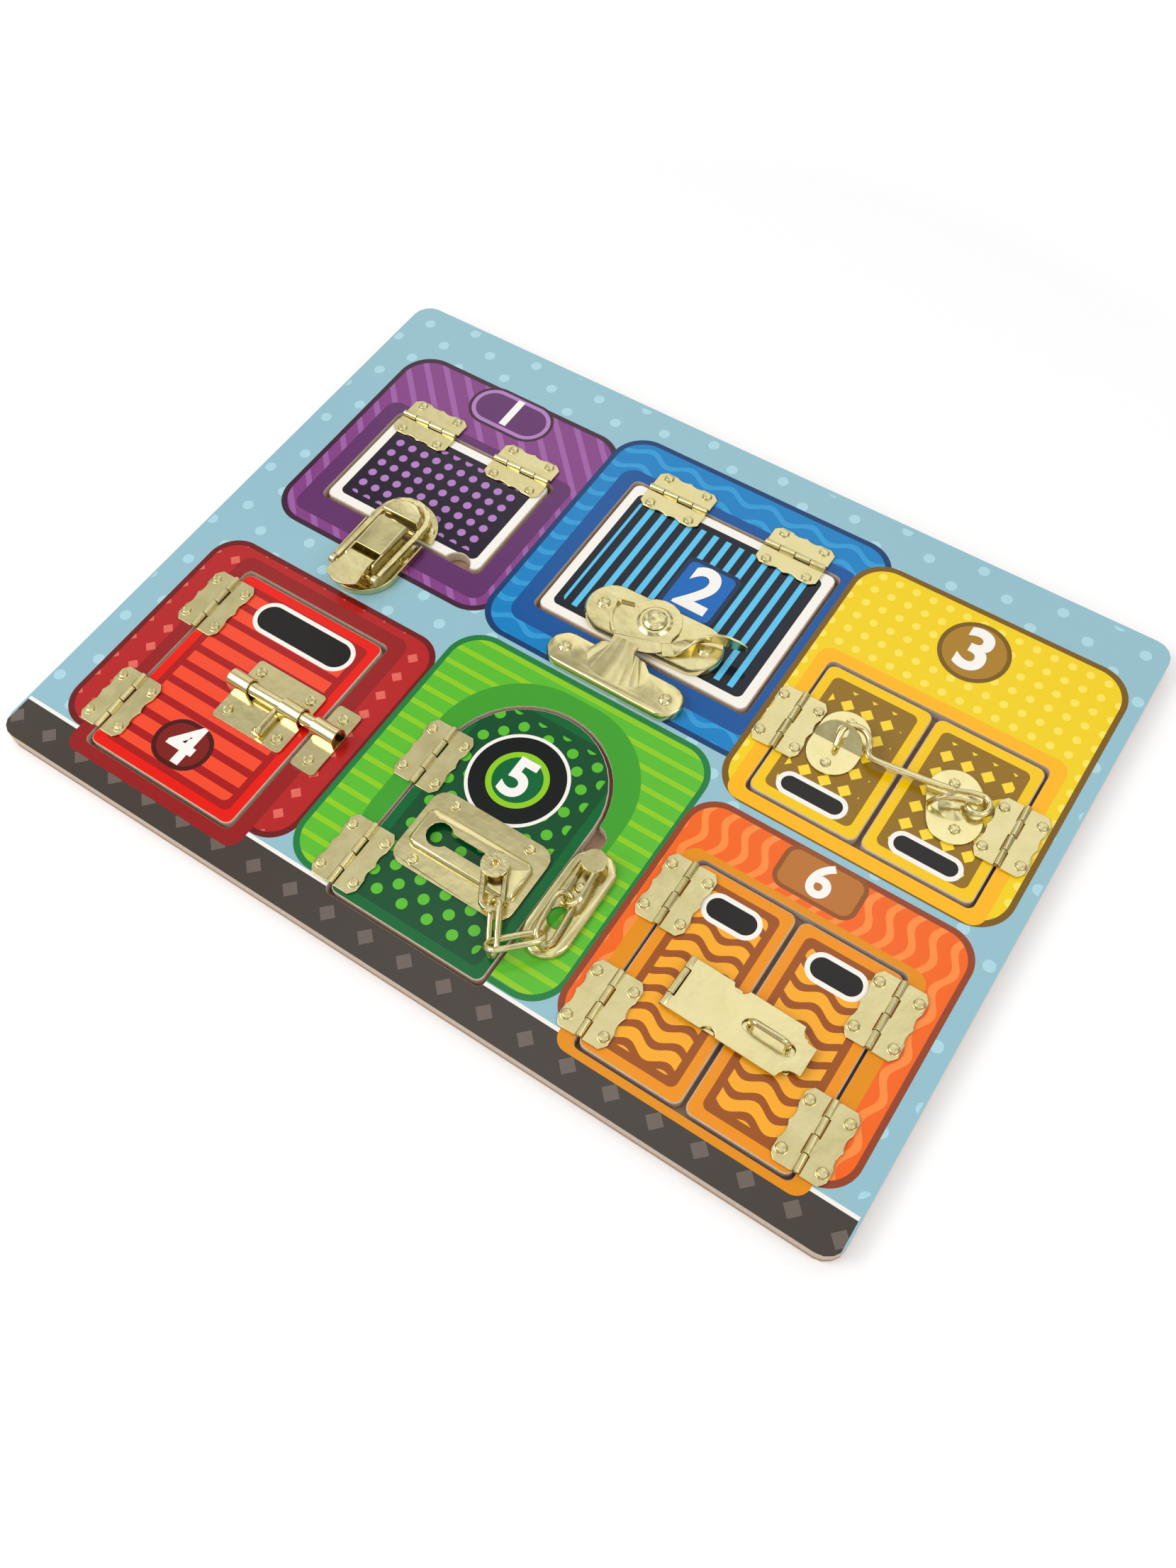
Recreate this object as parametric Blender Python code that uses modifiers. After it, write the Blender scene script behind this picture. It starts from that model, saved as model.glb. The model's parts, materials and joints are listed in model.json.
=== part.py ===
"""A child's wooden latch board: eight hinged flaps in one panel, held shut by six different brass latches.

Run it with blender --background --python part.py, or from Blender's text editor.
Lengths are metres and Z is up. The board lies on its back, with X along its length.
"""

import math
from collections import namedtuple

import bmesh
import bpy
from mathutils import Matrix, Vector

# Wooden board
BOARD_LENGTH = 0.394
BOARD_WIDTH = 0.294
BOARD_CORNER = 0.0085
BACK_THICKNESS = 0.003
FRONT_THICKNESS = 0.0057
SEAT_GAP = 0.0003
EDGE_EASE = 0.0004
HINGE_GAP = 0.0012
FREE_GAP = 0.0016
PAIR_GAP = 0.002
OPENING_CORNER = 0.003
FLAP_CORNER = 0.0035

# Openings: the middle and the size of each
WINDOW_1_X = -0.11825
WINDOW_1_Y = 0.0525
WINDOW_1_WIDTH = 0.0885
WINDOW_1_HEIGHT = 0.060
WINDOW_1_HINGES = 0.0525
WINDOW_2_X = 0.00825
WINDOW_2_Y = 0.06415
WINDOW_2_WIDTH = 0.1065
WINDOW_2_HEIGHT = 0.0833
WINDOW_2_HINGES = 0.060
DOOR_3_X = 0.1276
DOOR_3_Y = 0.0298
DOOR_3_WIDTH = 0.100
DOOR_3_HEIGHT = 0.0724
DOOR_4_X = -0.1225
DOOR_4_Y = -0.0803
DOOR_4_WIDTH = 0.0786
DOOR_4_HEIGHT = 0.104
DOOR_4_HINGES = 0.0597
DOOR_5_X = 0.0022
DOOR_5_BOTTOM = -0.132
DOOR_5_WIDTH = 0.0748
DOOR_5_SPRING_Y = -0.0533
DOOR_5_HINGE_Y = -0.08745
DOOR_5_HINGES = 0.0523
DOOR_6_X = 0.1252
DOOR_6_Y = -0.0868
DOOR_6_WIDTH = 0.0908
DOOR_6_HEIGHT = 0.0896
DOOR_6_HINGES = 0.0522

# Finger holds
SCOOP_RADIUS = 0.006
SCOOP_Y = -0.058
NOTCH_RADIUS = 0.0065
NOTCH_DEPTH = 0.005
NOTCH_FROM_RIGHT = 0.0105

# Sheet metal and rivets
SHEET = 0.0008
CUT_OVERRUN = 0.002
NUDGE = 0.0001
RIVET_RADIUS = 0.0026
RIVET_HEIGHT = 0.0014
SHANK_RADIUS = 0.0013

# Butt hinge
HINGE_LENGTH = 0.030
HINGE_WIDTH = 0.0109
HINGE_PIN_HEIGHT = 0.0017
KNUCKLE_RADIUS = 0.0014
KNUCKLE_GAP = 0.0003
KNUCKLE_CLEARANCE = 0.00035
HINGE_PIN_RADIUS = 0.0007
HINGE_BORE = 0.001
HINGE_RIVET_SPACING = 0.020
HINGE_RIVET_OFFSET = 0.0081

# Draw latch, on and under window 1. Its place is measured from the lever's pivot
DRAW_PIVOT_DROP = 0.0238
DRAW_SHEET = 0.001
DRAW_BASE_HALF_WIDTH = 0.016
DRAW_BASE_ROUND_Y = 0.0025
DRAW_RIM_TOP = 0.0035
DRAW_PAN_SETBACK = 0.0016
DRAW_RIVET_X = 0.0127
DRAW_RIVET_Y = 0.0128
DRAW_BRIDGE_HALF_WIDTH = 0.0078
DRAW_BRIDGE_FOOT = 0.0053
DRAW_BRIDGE_TOP = 0.0098
DRAW_BRIDGE_ROUND = 0.0015
LEVER_PIVOT_HEIGHT = 0.0068
LEVER_PIN_RADIUS = 0.0008
LEVER_BORE = 0.0011
LEVER_KNUCKLE = 0.003
LEVER_HALF_WIDTH = 0.0083
LEVER_SHOULDER = 0.0031
LEVER_LENGTH = 0.0168
LEVER_TIP_ROUND = 0.0036
LEVER_RISE = 3.0
LUG_RADIUS = 0.0024
SIDE_CLEARANCE = 0.0003
BAIL_PIN_OFFSET = 0.0053
BAIL_PIN_RADIUS = 0.0009
BAIL_BORE = 0.0012
BAIL_EYE_RADIUS = 0.0022
BAIL_INNER = 0.0102
BAIL_OUTER = 0.0126
BAIL_PIN_HEIGHT = 0.006
BAIL_THICKNESS = 0.0018
BAIL_SLOPE = 1.9
HUMP_FROM_EDGE = 0.0035
HUMP_NECK = 0.0092
HUMP_CAP = 0.0098
HUMP_CAP_LOW = 0.0058
HUMP_TOP = 0.0088
HUMP_EASE = 0.0008
DRAW_KEEPER_RADIUS = 0.017
DRAW_KEEPER_FROM_EDGE = 0.0023
DRAW_KEEPER_RIVET_X = 0.0126
DRAW_KEEPER_RIVET_Y = 0.0057

# Sash lock, on and under window 2. Its place is measured from the cam's pivot
SASH_PIVOT_SHIFT = -0.00105
SASH_PIVOT_RISE = 0.0172
PAN_TOP = 0.0045
PAN_EASE = 0.0008
SASH_BASE_LENGTH = 0.065
SASH_BASE_HEIGHT = 0.0244
SASH_BASE_X = 0.0004
SASH_BASE_Y = -0.0016
SASH_BASE_TURN = 1.8
SASH_RIVET_SPACING = 0.0494
SASH_RIVET_RADIUS = 0.0033
SASH_STUD_RADIUS = 0.0025
SASH_HEAD_RADIUS = 0.0055
SASH_HEAD_HEIGHT = 0.0017
CAM_BORE = 0.0029
CAM_LOW = 0.0048
CAM_THICKNESS = 0.001
CAM_BOSS_RADIUS = 0.0078
CAM_BOSS_TOP = 0.0067
CAM_RADIUS = 0.0196
CAM_LIP_HEIGHT = 0.0017
LIP_START = 0.6
LIP_OUTER = 0.995
LIP_INNER = 0.93
HANDLE_WIDTH = 0.0066
HANDLE_SHEET = 0.0011
HANDLE_REACH = 0.0418
SASH_KEEPER_DROP = 0.0303
SASH_KEEPER_X = -0.0008
SASH_KEEPER_LENGTH = 0.065
SASH_KEEPER_HEIGHT = 0.0165
SASH_KEEPER_RIVETS = 0.0496
HOOD_FOOT_WIDTH = 0.033
HOOD_FOOT_DEPTH = 0.0106
HOOD_FOOT_X = -0.001
HOOD_FOOT_Y = -0.0262
HOOD_MOUTH_WIDTH = 0.015
HOOD_MOUTH_X = -0.0038
HOOD_TOP = 0.0094
HOOD_LIP_CLEARANCE = 0.0005
HOOD_SHEET = 0.001
HOOD_WALL_SETBACK = 0.0036
HOOD_WAY_DROP = 0.0016
HOOD_FULLNESS = 0.6

# Hook, with its eye plate on the right door 3 and its catch plate on the left one
EYE_PLATE_LENGTH = 0.0335
EYE_PLATE_WIDTH = 0.0222
EYE_PLATE_RIVETS = 0.0206
EYE_PLATE_FROM_MIDDLE = 0.0247
EYE_PLATE_TURN = 26.0
EYE_HALF_SPAN = 0.0103
EYE_HEIGHT = 0.0085
EYE_WIRE = 0.0013
EYE_BOSS_RADIUS = 0.0066
EYE_BOSS_HEIGHT = 0.0012
CATCH_PLATE_FROM_MIDDLE = 0.0275
CATCH_PLATE_LENGTH = 0.0315
CATCH_PLATE_WIDTH = 0.0214
CATCH_PLATE_RIVETS = 0.0218
CATCH_Y = 0.0015
CATCH_CREASE_Y = -0.0015
CATCH_TAB_RADIUS = 0.0107
CATCH_TAB_TURN = 56.0
CATCH_SLOT_WIDTH = 0.0048
CATCH_SLOT_LOW = 0.0026
CATCH_SLOT_HIGH = 0.0096
HOOK_WIRE = 0.0015
HOOK_RING_WIRE = 0.0012
HOOK_RING_RADIUS = 0.0044
HOOK_HEIGHT = 0.0046
HOOK_REACH = 0.0611

# Barrel bolt, on and beside door 4. Its place is measured from the plate's middle
BOLT_FROM_FREE_EDGE = 0.0221
BOLT_Y = 0.0015
BOLT_PLATE_LENGTH = 0.036
BOLT_PLATE_HEIGHT = 0.032
BOLT_PLATE_CORNER = 0.0015
BOLT_RIVET_X = 0.01325
BOLT_RIVET_Y = 0.01085
BOLT_RADIUS = 0.003
BOLT_BORE = 0.0033
BARREL_SHEET = 0.0009
BARREL_REAR = -0.0198
BARREL_REAR_END = -0.0094
BARREL_FRONT = 0.0077
BOLT_TAIL = -0.019
BOLT_NOSE = 0.0316
KNOB_X = 0.0056
KNOB_REACH = 0.0162
KNOB_STEM = 0.0012
KNOB_HEAD = 0.0025
KNOB_DROOP = 2.5
BOLT_RIVET_RADIUS = 0.0029
BOLT_KEEPER_FROM_EDGE = 0.0068
BOLT_KEEPER_WIDTH = 0.012
BOLT_KEEPER_HEIGHT = 0.033
BOLT_KEEPER_RIVETS = 0.0226
BOLT_KEEPER_Y = -0.0018

# Chain guard, on and beside door 5. The slide plate's place is measured from its middle
SLIDE_X = 0.0047
SLIDE_Y = -0.0892
SLIDE_LENGTH = 0.056
SLIDE_HEIGHT = 0.036
SLIDE_CORNER = 0.0065
SLIDE_RIVET_X = 0.018
SLIDE_RIVET_Y = 0.014
SLIDE_EMBOSS_LENGTH = 0.050
SLIDE_EMBOSS_HEIGHT = 0.0185
SLIDE_EMBOSS_CORNER = 0.004
SLIDE_EMBOSS_TOP = 0.0038
SLIDE_EASE = 0.0012
SLOT_Y = -0.0006
SLOT_WIDTH = 0.0058
KEYHOLE_X = -0.0147
KEYHOLE_RADIUS = 0.0054
BUTTON_X = 0.0125
BUTTON_NECK = 0.0022
BUTTON_COLLAR = 0.0032
BUTTON_FLANGE = 0.0058
BUTTON_HEAD = 0.0044
BUTTON_HEAD_LOW = 0.0013
BUTTON_HEAD_TOP = 0.0025
BUTTON_SEAT = 0.0041
BUTTON_SHEET = 0.0008
BUTTON_SINK = 0.0028
LINK_LENGTH = 0.025
LINK_WIDTH = 0.011
LINK_WIRE = 0.0013
ANCHOR_X = 0.0484
ANCHOR_Y = -0.0860
ANCHOR_LENGTH = 0.050
ANCHOR_WIDTH = 0.020
ANCHOR_RIM_TOP = 0.0026
ANCHOR_RIM_WIDTH = 0.0035
ANCHOR_EASE = 0.0009
ANCHOR_HOLE_RADIUS = 0.0048
ANCHOR_HOLE_Y = -0.007
ANCHOR_RIVET_Y = 0.0075
TAB_RADIUS = 0.00515
TAB_Y = 0.0176
TAB_TOP = 0.0080

# Hasp, across both doors 6. Its place is measured from the strap's pin
HASP_PIN_FROM_MIDDLE = 0.0252
HASP_Y = -0.0037
HASP_PIN_HEIGHT = 0.0022
HASP_BARREL = 0.0016
HASP_PIN_RADIUS = 0.0007
HASP_BORE = 0.001
HASP_WIDTH = 0.0222
HASP_SHOULDER = 0.0478
HASP_LENGTH = 0.0553
HASP_NOSE_WIDTH = 0.012
HASP_NECK_X = 0.0195
HASP_NECK_RADIUS = 0.0034
HASP_NECK_DEPTH = 0.0026
HASP_NECK_STEP = 0.0014
HASP_TURN = -1.6
HASP_KNUCKLE = 0.0052
HASP_STRAP_LOW = 0.0021
HASP_SHEET = 0.001
HASP_BASE_LENGTH = 0.020
HASP_BASE_RIVET_HEIGHT = 0.0007
HASP_SLOT_START = 0.0278
HASP_SLOT_END = 0.0496
HASP_SLOT_WIDTH = 0.005
STAPLE_MIDDLE = 0.0387
STAPLE_SPAN = 0.0155
STAPLE_WIRE = 0.0013
STAPLE_TOP = 0.0095
STAPLE_ROUND = 0.0026
STAPLE_PLATE_LENGTH = 0.025
STAPLE_PLATE_HEIGHT = 0.0158

# Shares of a leaf's half length and width, from its middle to its end
leaf_edge_shares = (
    (0, 1), (0.12, 0.93), (0.25, 0.905), (0.37, 0.935), (0.46, 0.99), (0.8, 1), (0.89, 0.92), (1, 0.79),
)
# Degrees round the cam's pivot, and the share of the cam's radius there
cam_lobe_shares = (
    (-20, 0.60), (0, 0.60), (20, 0.60), (40, 0.60), (60, 0.60), (80, 0.60), (100, 0.60), (120, 0.60),
    (140, 0.60), (158, 0.62), (167, 0.66), (172, 0.80), (176, 0.97), (185, 1), (200, 1), (215, 0.985),
    (230, 0.955), (245, 0.92), (260, 0.89), (275, 0.86), (290, 0.83), (303, 0.82), (316, 0.79), (328, 0.70),
)
# Shares of the handle's reach along, across and up, its half turns of twist, and a share of its width
handle_route_shares = (
    (0.24, -0.26, 0, 0, 1), (0.335, -0.195, 0, 0, 1), (0.42, -0.09, 0.034, -0.14, 1),
    (0.49, -0.014, 0.057, -0.28, 1), (0.58, 0.043, 0.093, -0.40, 1), (0.68, 0.093, 0.108, -0.47, 1),
    (0.79, 0.117, 0.112, -0.5, 1), (0.90, 0.129, 0.112, -0.5, 0.9), (0.99, 0.134, 0.112, -0.5, 0.5),
)
# Shares of the hook's reach from its ring's middle: along, across and up from the rod's height
hook_route_shares = (
    (-0.17, 0.012, 0), (-0.30, -0.012, 0), (-0.45, -0.034, 0), (-0.60, -0.054, 0.001), (-0.70, -0.066, 0.003),
    (-0.745, -0.066, 0.006), (-0.772, -0.044, 0.011), (-0.781, -0.010, 0.017), (-0.795, 0.028, 0.024),
    (-0.826, 0.062, 0.030), (-0.870, 0.081, 0.035), (-0.918, 0.082, 0.037), (-0.958, 0.066, 0.037),
    (-0.984, 0.038, 0.033), (-0.993, 0.006, 0.027), (-0.990, -0.030, 0.014), (-0.983, -0.066, -0.002),
    (-0.976, -0.100, -0.018),
)
# Each free link: shares of a link's length from the anchor plate's middle, and its turns in degrees
LinkPlace = namedtuple("LinkPlace", "along across up turn lift roll")
chain_link_shares = {
    "chain_link_a": LinkPlace(-0.0124, 0.3664, 0.1956, 95.8, -2.2, -28.6),
    "chain_link_b": LinkPlace(-0.0008, -0.3732, 0.2132, 95.61, -0.35, 34.47),
    "chain_link_c": LinkPlace(-0.2576, -1.0220, 0.2996, 46.75, -4.62, -39.29),
    "chain_link_d": LinkPlace(-0.6788, -0.9940, 0.2380, -58.38, -5.3, 61.05),
    "chain_end_link": LinkPlace(-1.1088, -0.3956, 0.2284, -60.2, 1.1, -0.2),
}
# Where each link turns in the one before it: shares of a link's length from the anchor plate's middle
chain_pivot_shares = {
    "chain_link_b": (-0.046, 0.1124, 0.186),
    "chain_link_c": (-0.0504, -0.8216, 0.202),
    "chain_link_d": (-0.4472, -1.3608, 0.2836),
    "chain_end_link": (-0.8096, -0.7416, 0.252),
}

# Facets
CORNER_STEPS = 4
ROUND_STEPS = 10
RIVET_SIDES = 8
KNUCKLE_SIDES = 8
BORE_SIDES = 6
PIN_SIDES = 10
DISC_SIDES = 24
LINK_END_STEPS = 7
MERGE_SHARE = 1e-6
SMOOTH_ANGLE = 35

BOARD_TOP = BACK_THICKNESS + SEAT_GAP + FRONT_THICKNESS
MERGE = BOARD_LENGTH * MERGE_SHARE
PLATE_TOP = SEAT_GAP + SHEET

# Finishes: colour, metallic and roughness
Finish = namedtuple("Finish", "red green blue metallic roughness")
FINISHES = {
    "printed_board": Finish(0.28, 0.51, 0.58, 0, 0.3),
    "raw_fibreboard": Finish(0.45, 0.30, 0.20, 0, 0.8),
    "purple_print": Finish(0.23, 0.05, 0.23, 0, 0.3),
    "blue_print": Finish(0.01, 0.21, 0.52, 0, 0.3),
    "yellow_print": Finish(0.87, 0.61, 0.01, 0, 0.3),
    "red_print": Finish(0.79, 0.01, 0.01, 0, 0.3),
    "green_print": Finish(0.01, 0.16, 0.03, 0, 0.3),
    "orange_print": Finish(0.75, 0.26, 0.01, 0, 0.3),
    "brassed_hinge": Finish(0.62, 0.52, 0.27, 1, 0.3),
    "brassed_latch": Finish(0.66, 0.55, 0.27, 1, 0.2),
    "brassed_wire": Finish(0.70, 0.58, 0.30, 1, 0.15),
}

# Turns a shape drawn in the XY plane so that its thickness runs along the named axis
DRAWN_ALONG = {
    "X": Matrix(((0, 0, 1, 0), (1, 0, 0, 0), (0, 1, 0, 0), (0, 0, 0, 1))),
    "Y": Matrix(((1, 0, 0, 0), (0, 0, 1, 0), (0, 1, 0, 0), (0, 0, 0, 1))),
    "Z": Matrix.Identity(4),
}

Opening = namedtuple("Opening", "left right bottom top")


def arc(x, y, radius, start, end, steps=ROUND_STEPS):
    """The points of an arc round (x, y), with its angles in degrees."""
    turns = [math.radians(start + (end - start) * i / steps) for i in range(steps + 1)]
    return [(x + radius * math.cos(turn), y + radius * math.sin(turn)) for turn in turns]


def box(left, right, bottom, top):
    return [(right, top), (left, top), (left, bottom), (right, bottom)]


def rounded_box(left, right, bottom, top, radius, steps=CORNER_STEPS):
    """A rectangle with round corners. A radius of half its height makes it an obround."""
    corners = (
        (right - radius, top - radius, 0),
        (left + radius, top - radius, 90),
        (left + radius, bottom + radius, 180),
        (right - radius, bottom + radius, 270),
    )
    return [point for x, y, start in corners for point in arc(x, y, radius, start, start + 90, steps)]


def centred_box(x, y, width, height, radius, steps=CORNER_STEPS):
    return rounded_box(x - width / 2, x + width / 2, y - height / 2, y + height / 2, radius, steps)


def round_topped(half, low, top, radius):
    """A section with two round top corners and a straight foot."""
    right = arc(half - radius, top - radius, radius, 0, 90, 2)
    left = arc(radius - half, top - radius, radius, 90, 180, 2)
    return right + left + [(-half, low), (half, low)]


def clear_scene():
    for obj in list(bpy.data.objects):
        bpy.data.objects.remove(obj, do_unlink=True)


def new_collection(name, helper):
    collection = bpy.data.collections.new(name)
    bpy.context.scene.collection.children.link(collection)
    collection.hide_render = helper
    return collection


def cleaned(mesh):
    """Merges doubled points and turns the faces outwards."""
    shape = bmesh.new()
    shape.from_mesh(mesh)
    bmesh.ops.remove_doubles(shape, verts=shape.verts, dist=MERGE)
    bmesh.ops.dissolve_degenerate(shape, edges=shape.edges, dist=MERGE)
    bmesh.ops.recalc_face_normals(shape, faces=shape.faces)
    shape.to_mesh(mesh)
    shape.free()
    return mesh


def settled(source, turn=None):
    """A plain mesh object made from a helper's evaluated shape. The helper is removed."""
    if not source.users_collection:
        CUTTERS.objects.link(source)
    bpy.context.view_layer.update()
    graph = bpy.context.evaluated_depsgraph_get()
    mesh = bpy.data.meshes.new_from_object(source.evaluated_get(graph))
    mesh.transform((turn or Matrix.Identity(4)) @ source.matrix_world)
    bpy.data.objects.remove(source, do_unlink=True)
    return helper(cleaned(mesh))


def helper(mesh):
    obj = bpy.data.objects.new("helper", mesh)
    obj.display_type = "WIRE"
    CUTTERS.objects.link(obj)
    return obj


def moved(body, x=0.0, y=0.0, z=0.0):
    body.data.transform(Matrix.Translation((x, y, z)))
    return body


def turned_about(body, degrees, axis):
    body.data.transform(Matrix.Rotation(math.radians(degrees), 4, axis))
    return body


def prism(outline, low, high, along="Z", holes=()):
    """A flat outline with any holes in it, given a thickness from low to high along an axis."""
    curve = bpy.data.curves.new("outline", "CURVE")
    curve.dimensions = "2D"
    curve.fill_mode = "BOTH"
    curve.extrude = (high - low) / 2
    for ring in (outline, *holes):
        kept = [p for p, before in zip(ring, ring[-1:] + ring[:-1]) if math.dist(p, before) > MERGE]
        spline = curve.splines.new("POLY")
        spline.points.add(len(kept) - 1)
        for point, (x, y) in zip(spline.points, kept):
            point.co = (x, y, 0, 1)
        spline.use_cyclic_u = True
    source = bpy.data.objects.new("outline", curve)
    return settled(source, DRAWN_ALONG[along] @ Matrix.Translation((0, 0, (low + high) / 2)))


def disc(radius, low, high, sides=DISC_SIDES, along="Z"):
    """A round bar along an axis, with a flat side down."""
    shape = bmesh.new()
    bmesh.ops.create_cone(
        shape, cap_ends=True, segments=sides, radius1=radius, radius2=radius, depth=high - low
    )
    mesh = bpy.data.meshes.new("disc")
    flat_down = Matrix.Rotation(math.pi / sides, 4, "Z")
    mesh_turn = DRAWN_ALONG[along] @ Matrix.Translation((0, 0, (low + high) / 2)) @ flat_down
    shape.transform(mesh_turn)
    shape.to_mesh(mesh)
    shape.free()
    return helper(cleaned(mesh))


def turned_shape(profile, sides=DISC_SIDES):
    """A profile of (radius, height) points from the top down, turned about Z."""
    mesh = bpy.data.meshes.new("profile")
    points = [(radius, 0, height) for radius, height in profile]
    mesh.from_pydata(points, [(i, i + 1) for i in range(len(points) - 1)], [])
    source = bpy.data.objects.new("profile", mesh)
    screw = source.modifiers.new("Turn", "SCREW")
    screw.axis = "Z"
    screw.steps = sides
    screw.render_steps = sides
    screw.use_merge_vertices = True
    screw.merge_threshold = MERGE
    return settled(source)


def wire(points, radius, detail=2, closed=False):
    """A round wire along a list of points."""
    curve = bpy.data.curves.new("wire", "CURVE")
    curve.dimensions = "3D"
    curve.bevel_depth = radius
    curve.bevel_resolution = detail
    curve.use_fill_caps = not closed
    spline = curve.splines.new("POLY")
    spline.points.add(len(points) - 1)
    for point, place in zip(spline.points, points):
        point.co = (*place, 1)
    spline.use_cyclic_u = closed
    return settled(bpy.data.objects.new("wire", curve))


def strip(points, twists, shares, width, thickness):
    """A flat strip along a list of points, with a twist in degrees and a share of its width at each."""
    section = bpy.data.curves.new("section", "CURVE")
    section.dimensions = "2D"
    corners = section.splines.new("POLY")
    corners.points.add(3)
    for corner, (x, y) in zip(corners.points, ((-1, -1), (1, -1), (1, 1), (-1, 1))):
        corner.co = (x * width / 2, y * thickness / 2, 0, 1)
    corners.use_cyclic_u = True
    section_object = bpy.data.objects.new("section", section)
    CUTTERS.objects.link(section_object)
    curve = bpy.data.curves.new("strip", "CURVE")
    curve.dimensions = "3D"
    curve.twist_mode = "Z_UP"
    curve.bevel_mode = "OBJECT"
    curve.bevel_object = section_object
    curve.use_fill_caps = True
    spline = curve.splines.new("POLY")
    spline.points.add(len(points) - 1)
    for point, place, twist, share in zip(spline.points, points, twists, shares):
        point.co = (*place, 1)
        point.tilt = math.radians(twist)
        point.radius = share
    body = settled(bpy.data.objects.new("strip", curve))
    bpy.data.objects.remove(section_object, do_unlink=True)
    return body


def combined(operation, body, others):
    for other in others:
        modifier = body.modifiers.new(operation, "BOOLEAN")
        modifier.operation = operation
        modifier.solver = "EXACT"
        modifier.object = other
    result = settled(body)
    for other in others:
        bpy.data.objects.remove(other, do_unlink=True)
    return result


def joined(body, *others):
    return combined("UNION", body, others)


def cut(body, *others):
    return combined("DIFFERENCE", body, others)


def eased(body, width, segments=1):
    """Rounds the sharp edges of a body."""
    bevel = body.modifiers.new("Ease", "BEVEL")
    bevel.width = width
    bevel.segments = segments
    bevel.limit_method = "ANGLE"
    bevel.angle_limit = math.radians(SMOOTH_ANGLE)
    return settled(body)


def flattened(body):
    """Joins the triangles of flat faces, so that a bevel runs clean along their edges."""
    shape = bmesh.new()
    shape.from_mesh(body.data)
    bmesh.ops.dissolve_limit(
        shape, angle_limit=math.radians(1), verts=shape.verts, edges=shape.edges
    )
    shape.to_mesh(body.data)
    shape.free()
    return body


def pressed(outline, low, high, ease):
    """A pressed form: an outline with upright sides and an eased top edge."""
    flat = flattened(prism(outline, low, low + ease / 8))
    shape = bmesh.new()
    shape.from_mesh(flat.data)
    shape.faces.ensure_lookup_table()
    top = [face for face in shape.faces if face.normal.z > math.cos(math.radians(SMOOTH_ANGLE))]
    corners = {vert for face in top for vert in face.verts}
    bmesh.ops.translate(shape, verts=list(corners), vec=(0, 0, high - ease - low - ease / 8))
    bmesh.ops.inset_region(shape, faces=top, thickness=ease, use_even_offset=True, use_boundary=True)
    lifted = {vert for face in top for vert in face.verts}
    bmesh.ops.translate(shape, verts=list(lifted), vec=(0, 0, ease))
    shape.to_mesh(flat.data)
    shape.free()
    cleaned(flat.data)
    return flat


def rivet(x, y, seat, radius=RIVET_RADIUS, height=RIVET_HEIGHT, foot=None):
    """A domed rivet head on a seat. With a foot it has a shank down to there."""
    low = seat - SHEET / 2
    profile = [(0, seat + height), (0.72 * radius, seat + 0.72 * height), (radius, low)]
    if foot is None:
        profile += [(0, low)]
    else:
        profile += [(SHANK_RADIUS, low), (SHANK_RADIUS, foot), (0, foot)]
    return moved(turned_shape(profile, RIVET_SIDES), x, y)


def material(name):
    if name in bpy.data.materials:
        return bpy.data.materials[name]
    finish = FINISHES[name]
    made = bpy.data.materials.new(name)
    made.use_nodes = True
    made.diffuse_color = (finish.red, finish.green, finish.blue, 1)
    shader = made.node_tree.nodes["Principled BSDF"]
    shader.inputs["Base Color"].default_value = (finish.red, finish.green, finish.blue, 1)
    shader.inputs["Metallic"].default_value = finish.metallic
    shader.inputs["Roughness"].default_value = finish.roughness
    return made


def kept(body, name, finish, frame, carrier=None, pivot=(0, 0, 0)):
    """Names a finished body, puts its origin on its pivot and fixes it to what carries it."""
    mesh = flattened(body).data
    mesh.name = name
    mesh.transform(Matrix.Translation(-Vector(pivot)))
    mesh.shade_smooth()
    mesh.set_sharp_from_angle(angle=math.radians(SMOOTH_ANGLE))
    mesh.materials.clear()
    mesh.materials.append(material(finish))
    bpy.data.objects.remove(body, do_unlink=True)
    return placed(mesh, name, frame @ Matrix.Translation(pivot), carrier)


def placed(mesh, name, where, carrier):
    obj = bpy.data.objects.new(name, mesh)
    PARTS.objects.link(obj)
    if carrier:
        obj.parent = carrier
        obj.matrix_parent_inverse = carrier.matrix_world.inverted()
    obj.matrix_basis = where
    bpy.context.view_layer.update()
    return obj


def frame_at(x, y, degrees=0.0, z=BOARD_TOP):
    return Matrix.Translation((x, y, z)) @ Matrix.Rotation(math.radians(degrees), 4, "Z")


def opening_of(x, y, width, height):
    return Opening(x - width / 2, x + width / 2, y - height / 2, y + height / 2)


OPENINGS = {
    "window_1": opening_of(WINDOW_1_X, WINDOW_1_Y, WINDOW_1_WIDTH, WINDOW_1_HEIGHT),
    "window_2": opening_of(WINDOW_2_X, WINDOW_2_Y, WINDOW_2_WIDTH, WINDOW_2_HEIGHT),
    "door_3": opening_of(DOOR_3_X, DOOR_3_Y, DOOR_3_WIDTH, DOOR_3_HEIGHT),
    "door_4": opening_of(DOOR_4_X, DOOR_4_Y, DOOR_4_WIDTH, DOOR_4_HEIGHT),
    "door_5": Opening(
        DOOR_5_X - DOOR_5_WIDTH / 2, DOOR_5_X + DOOR_5_WIDTH / 2, DOOR_5_BOTTOM, DOOR_5_SPRING_Y
    ),
    "door_6": opening_of(DOOR_6_X, DOOR_6_Y, DOOR_6_WIDTH, DOOR_6_HEIGHT),
}


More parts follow.
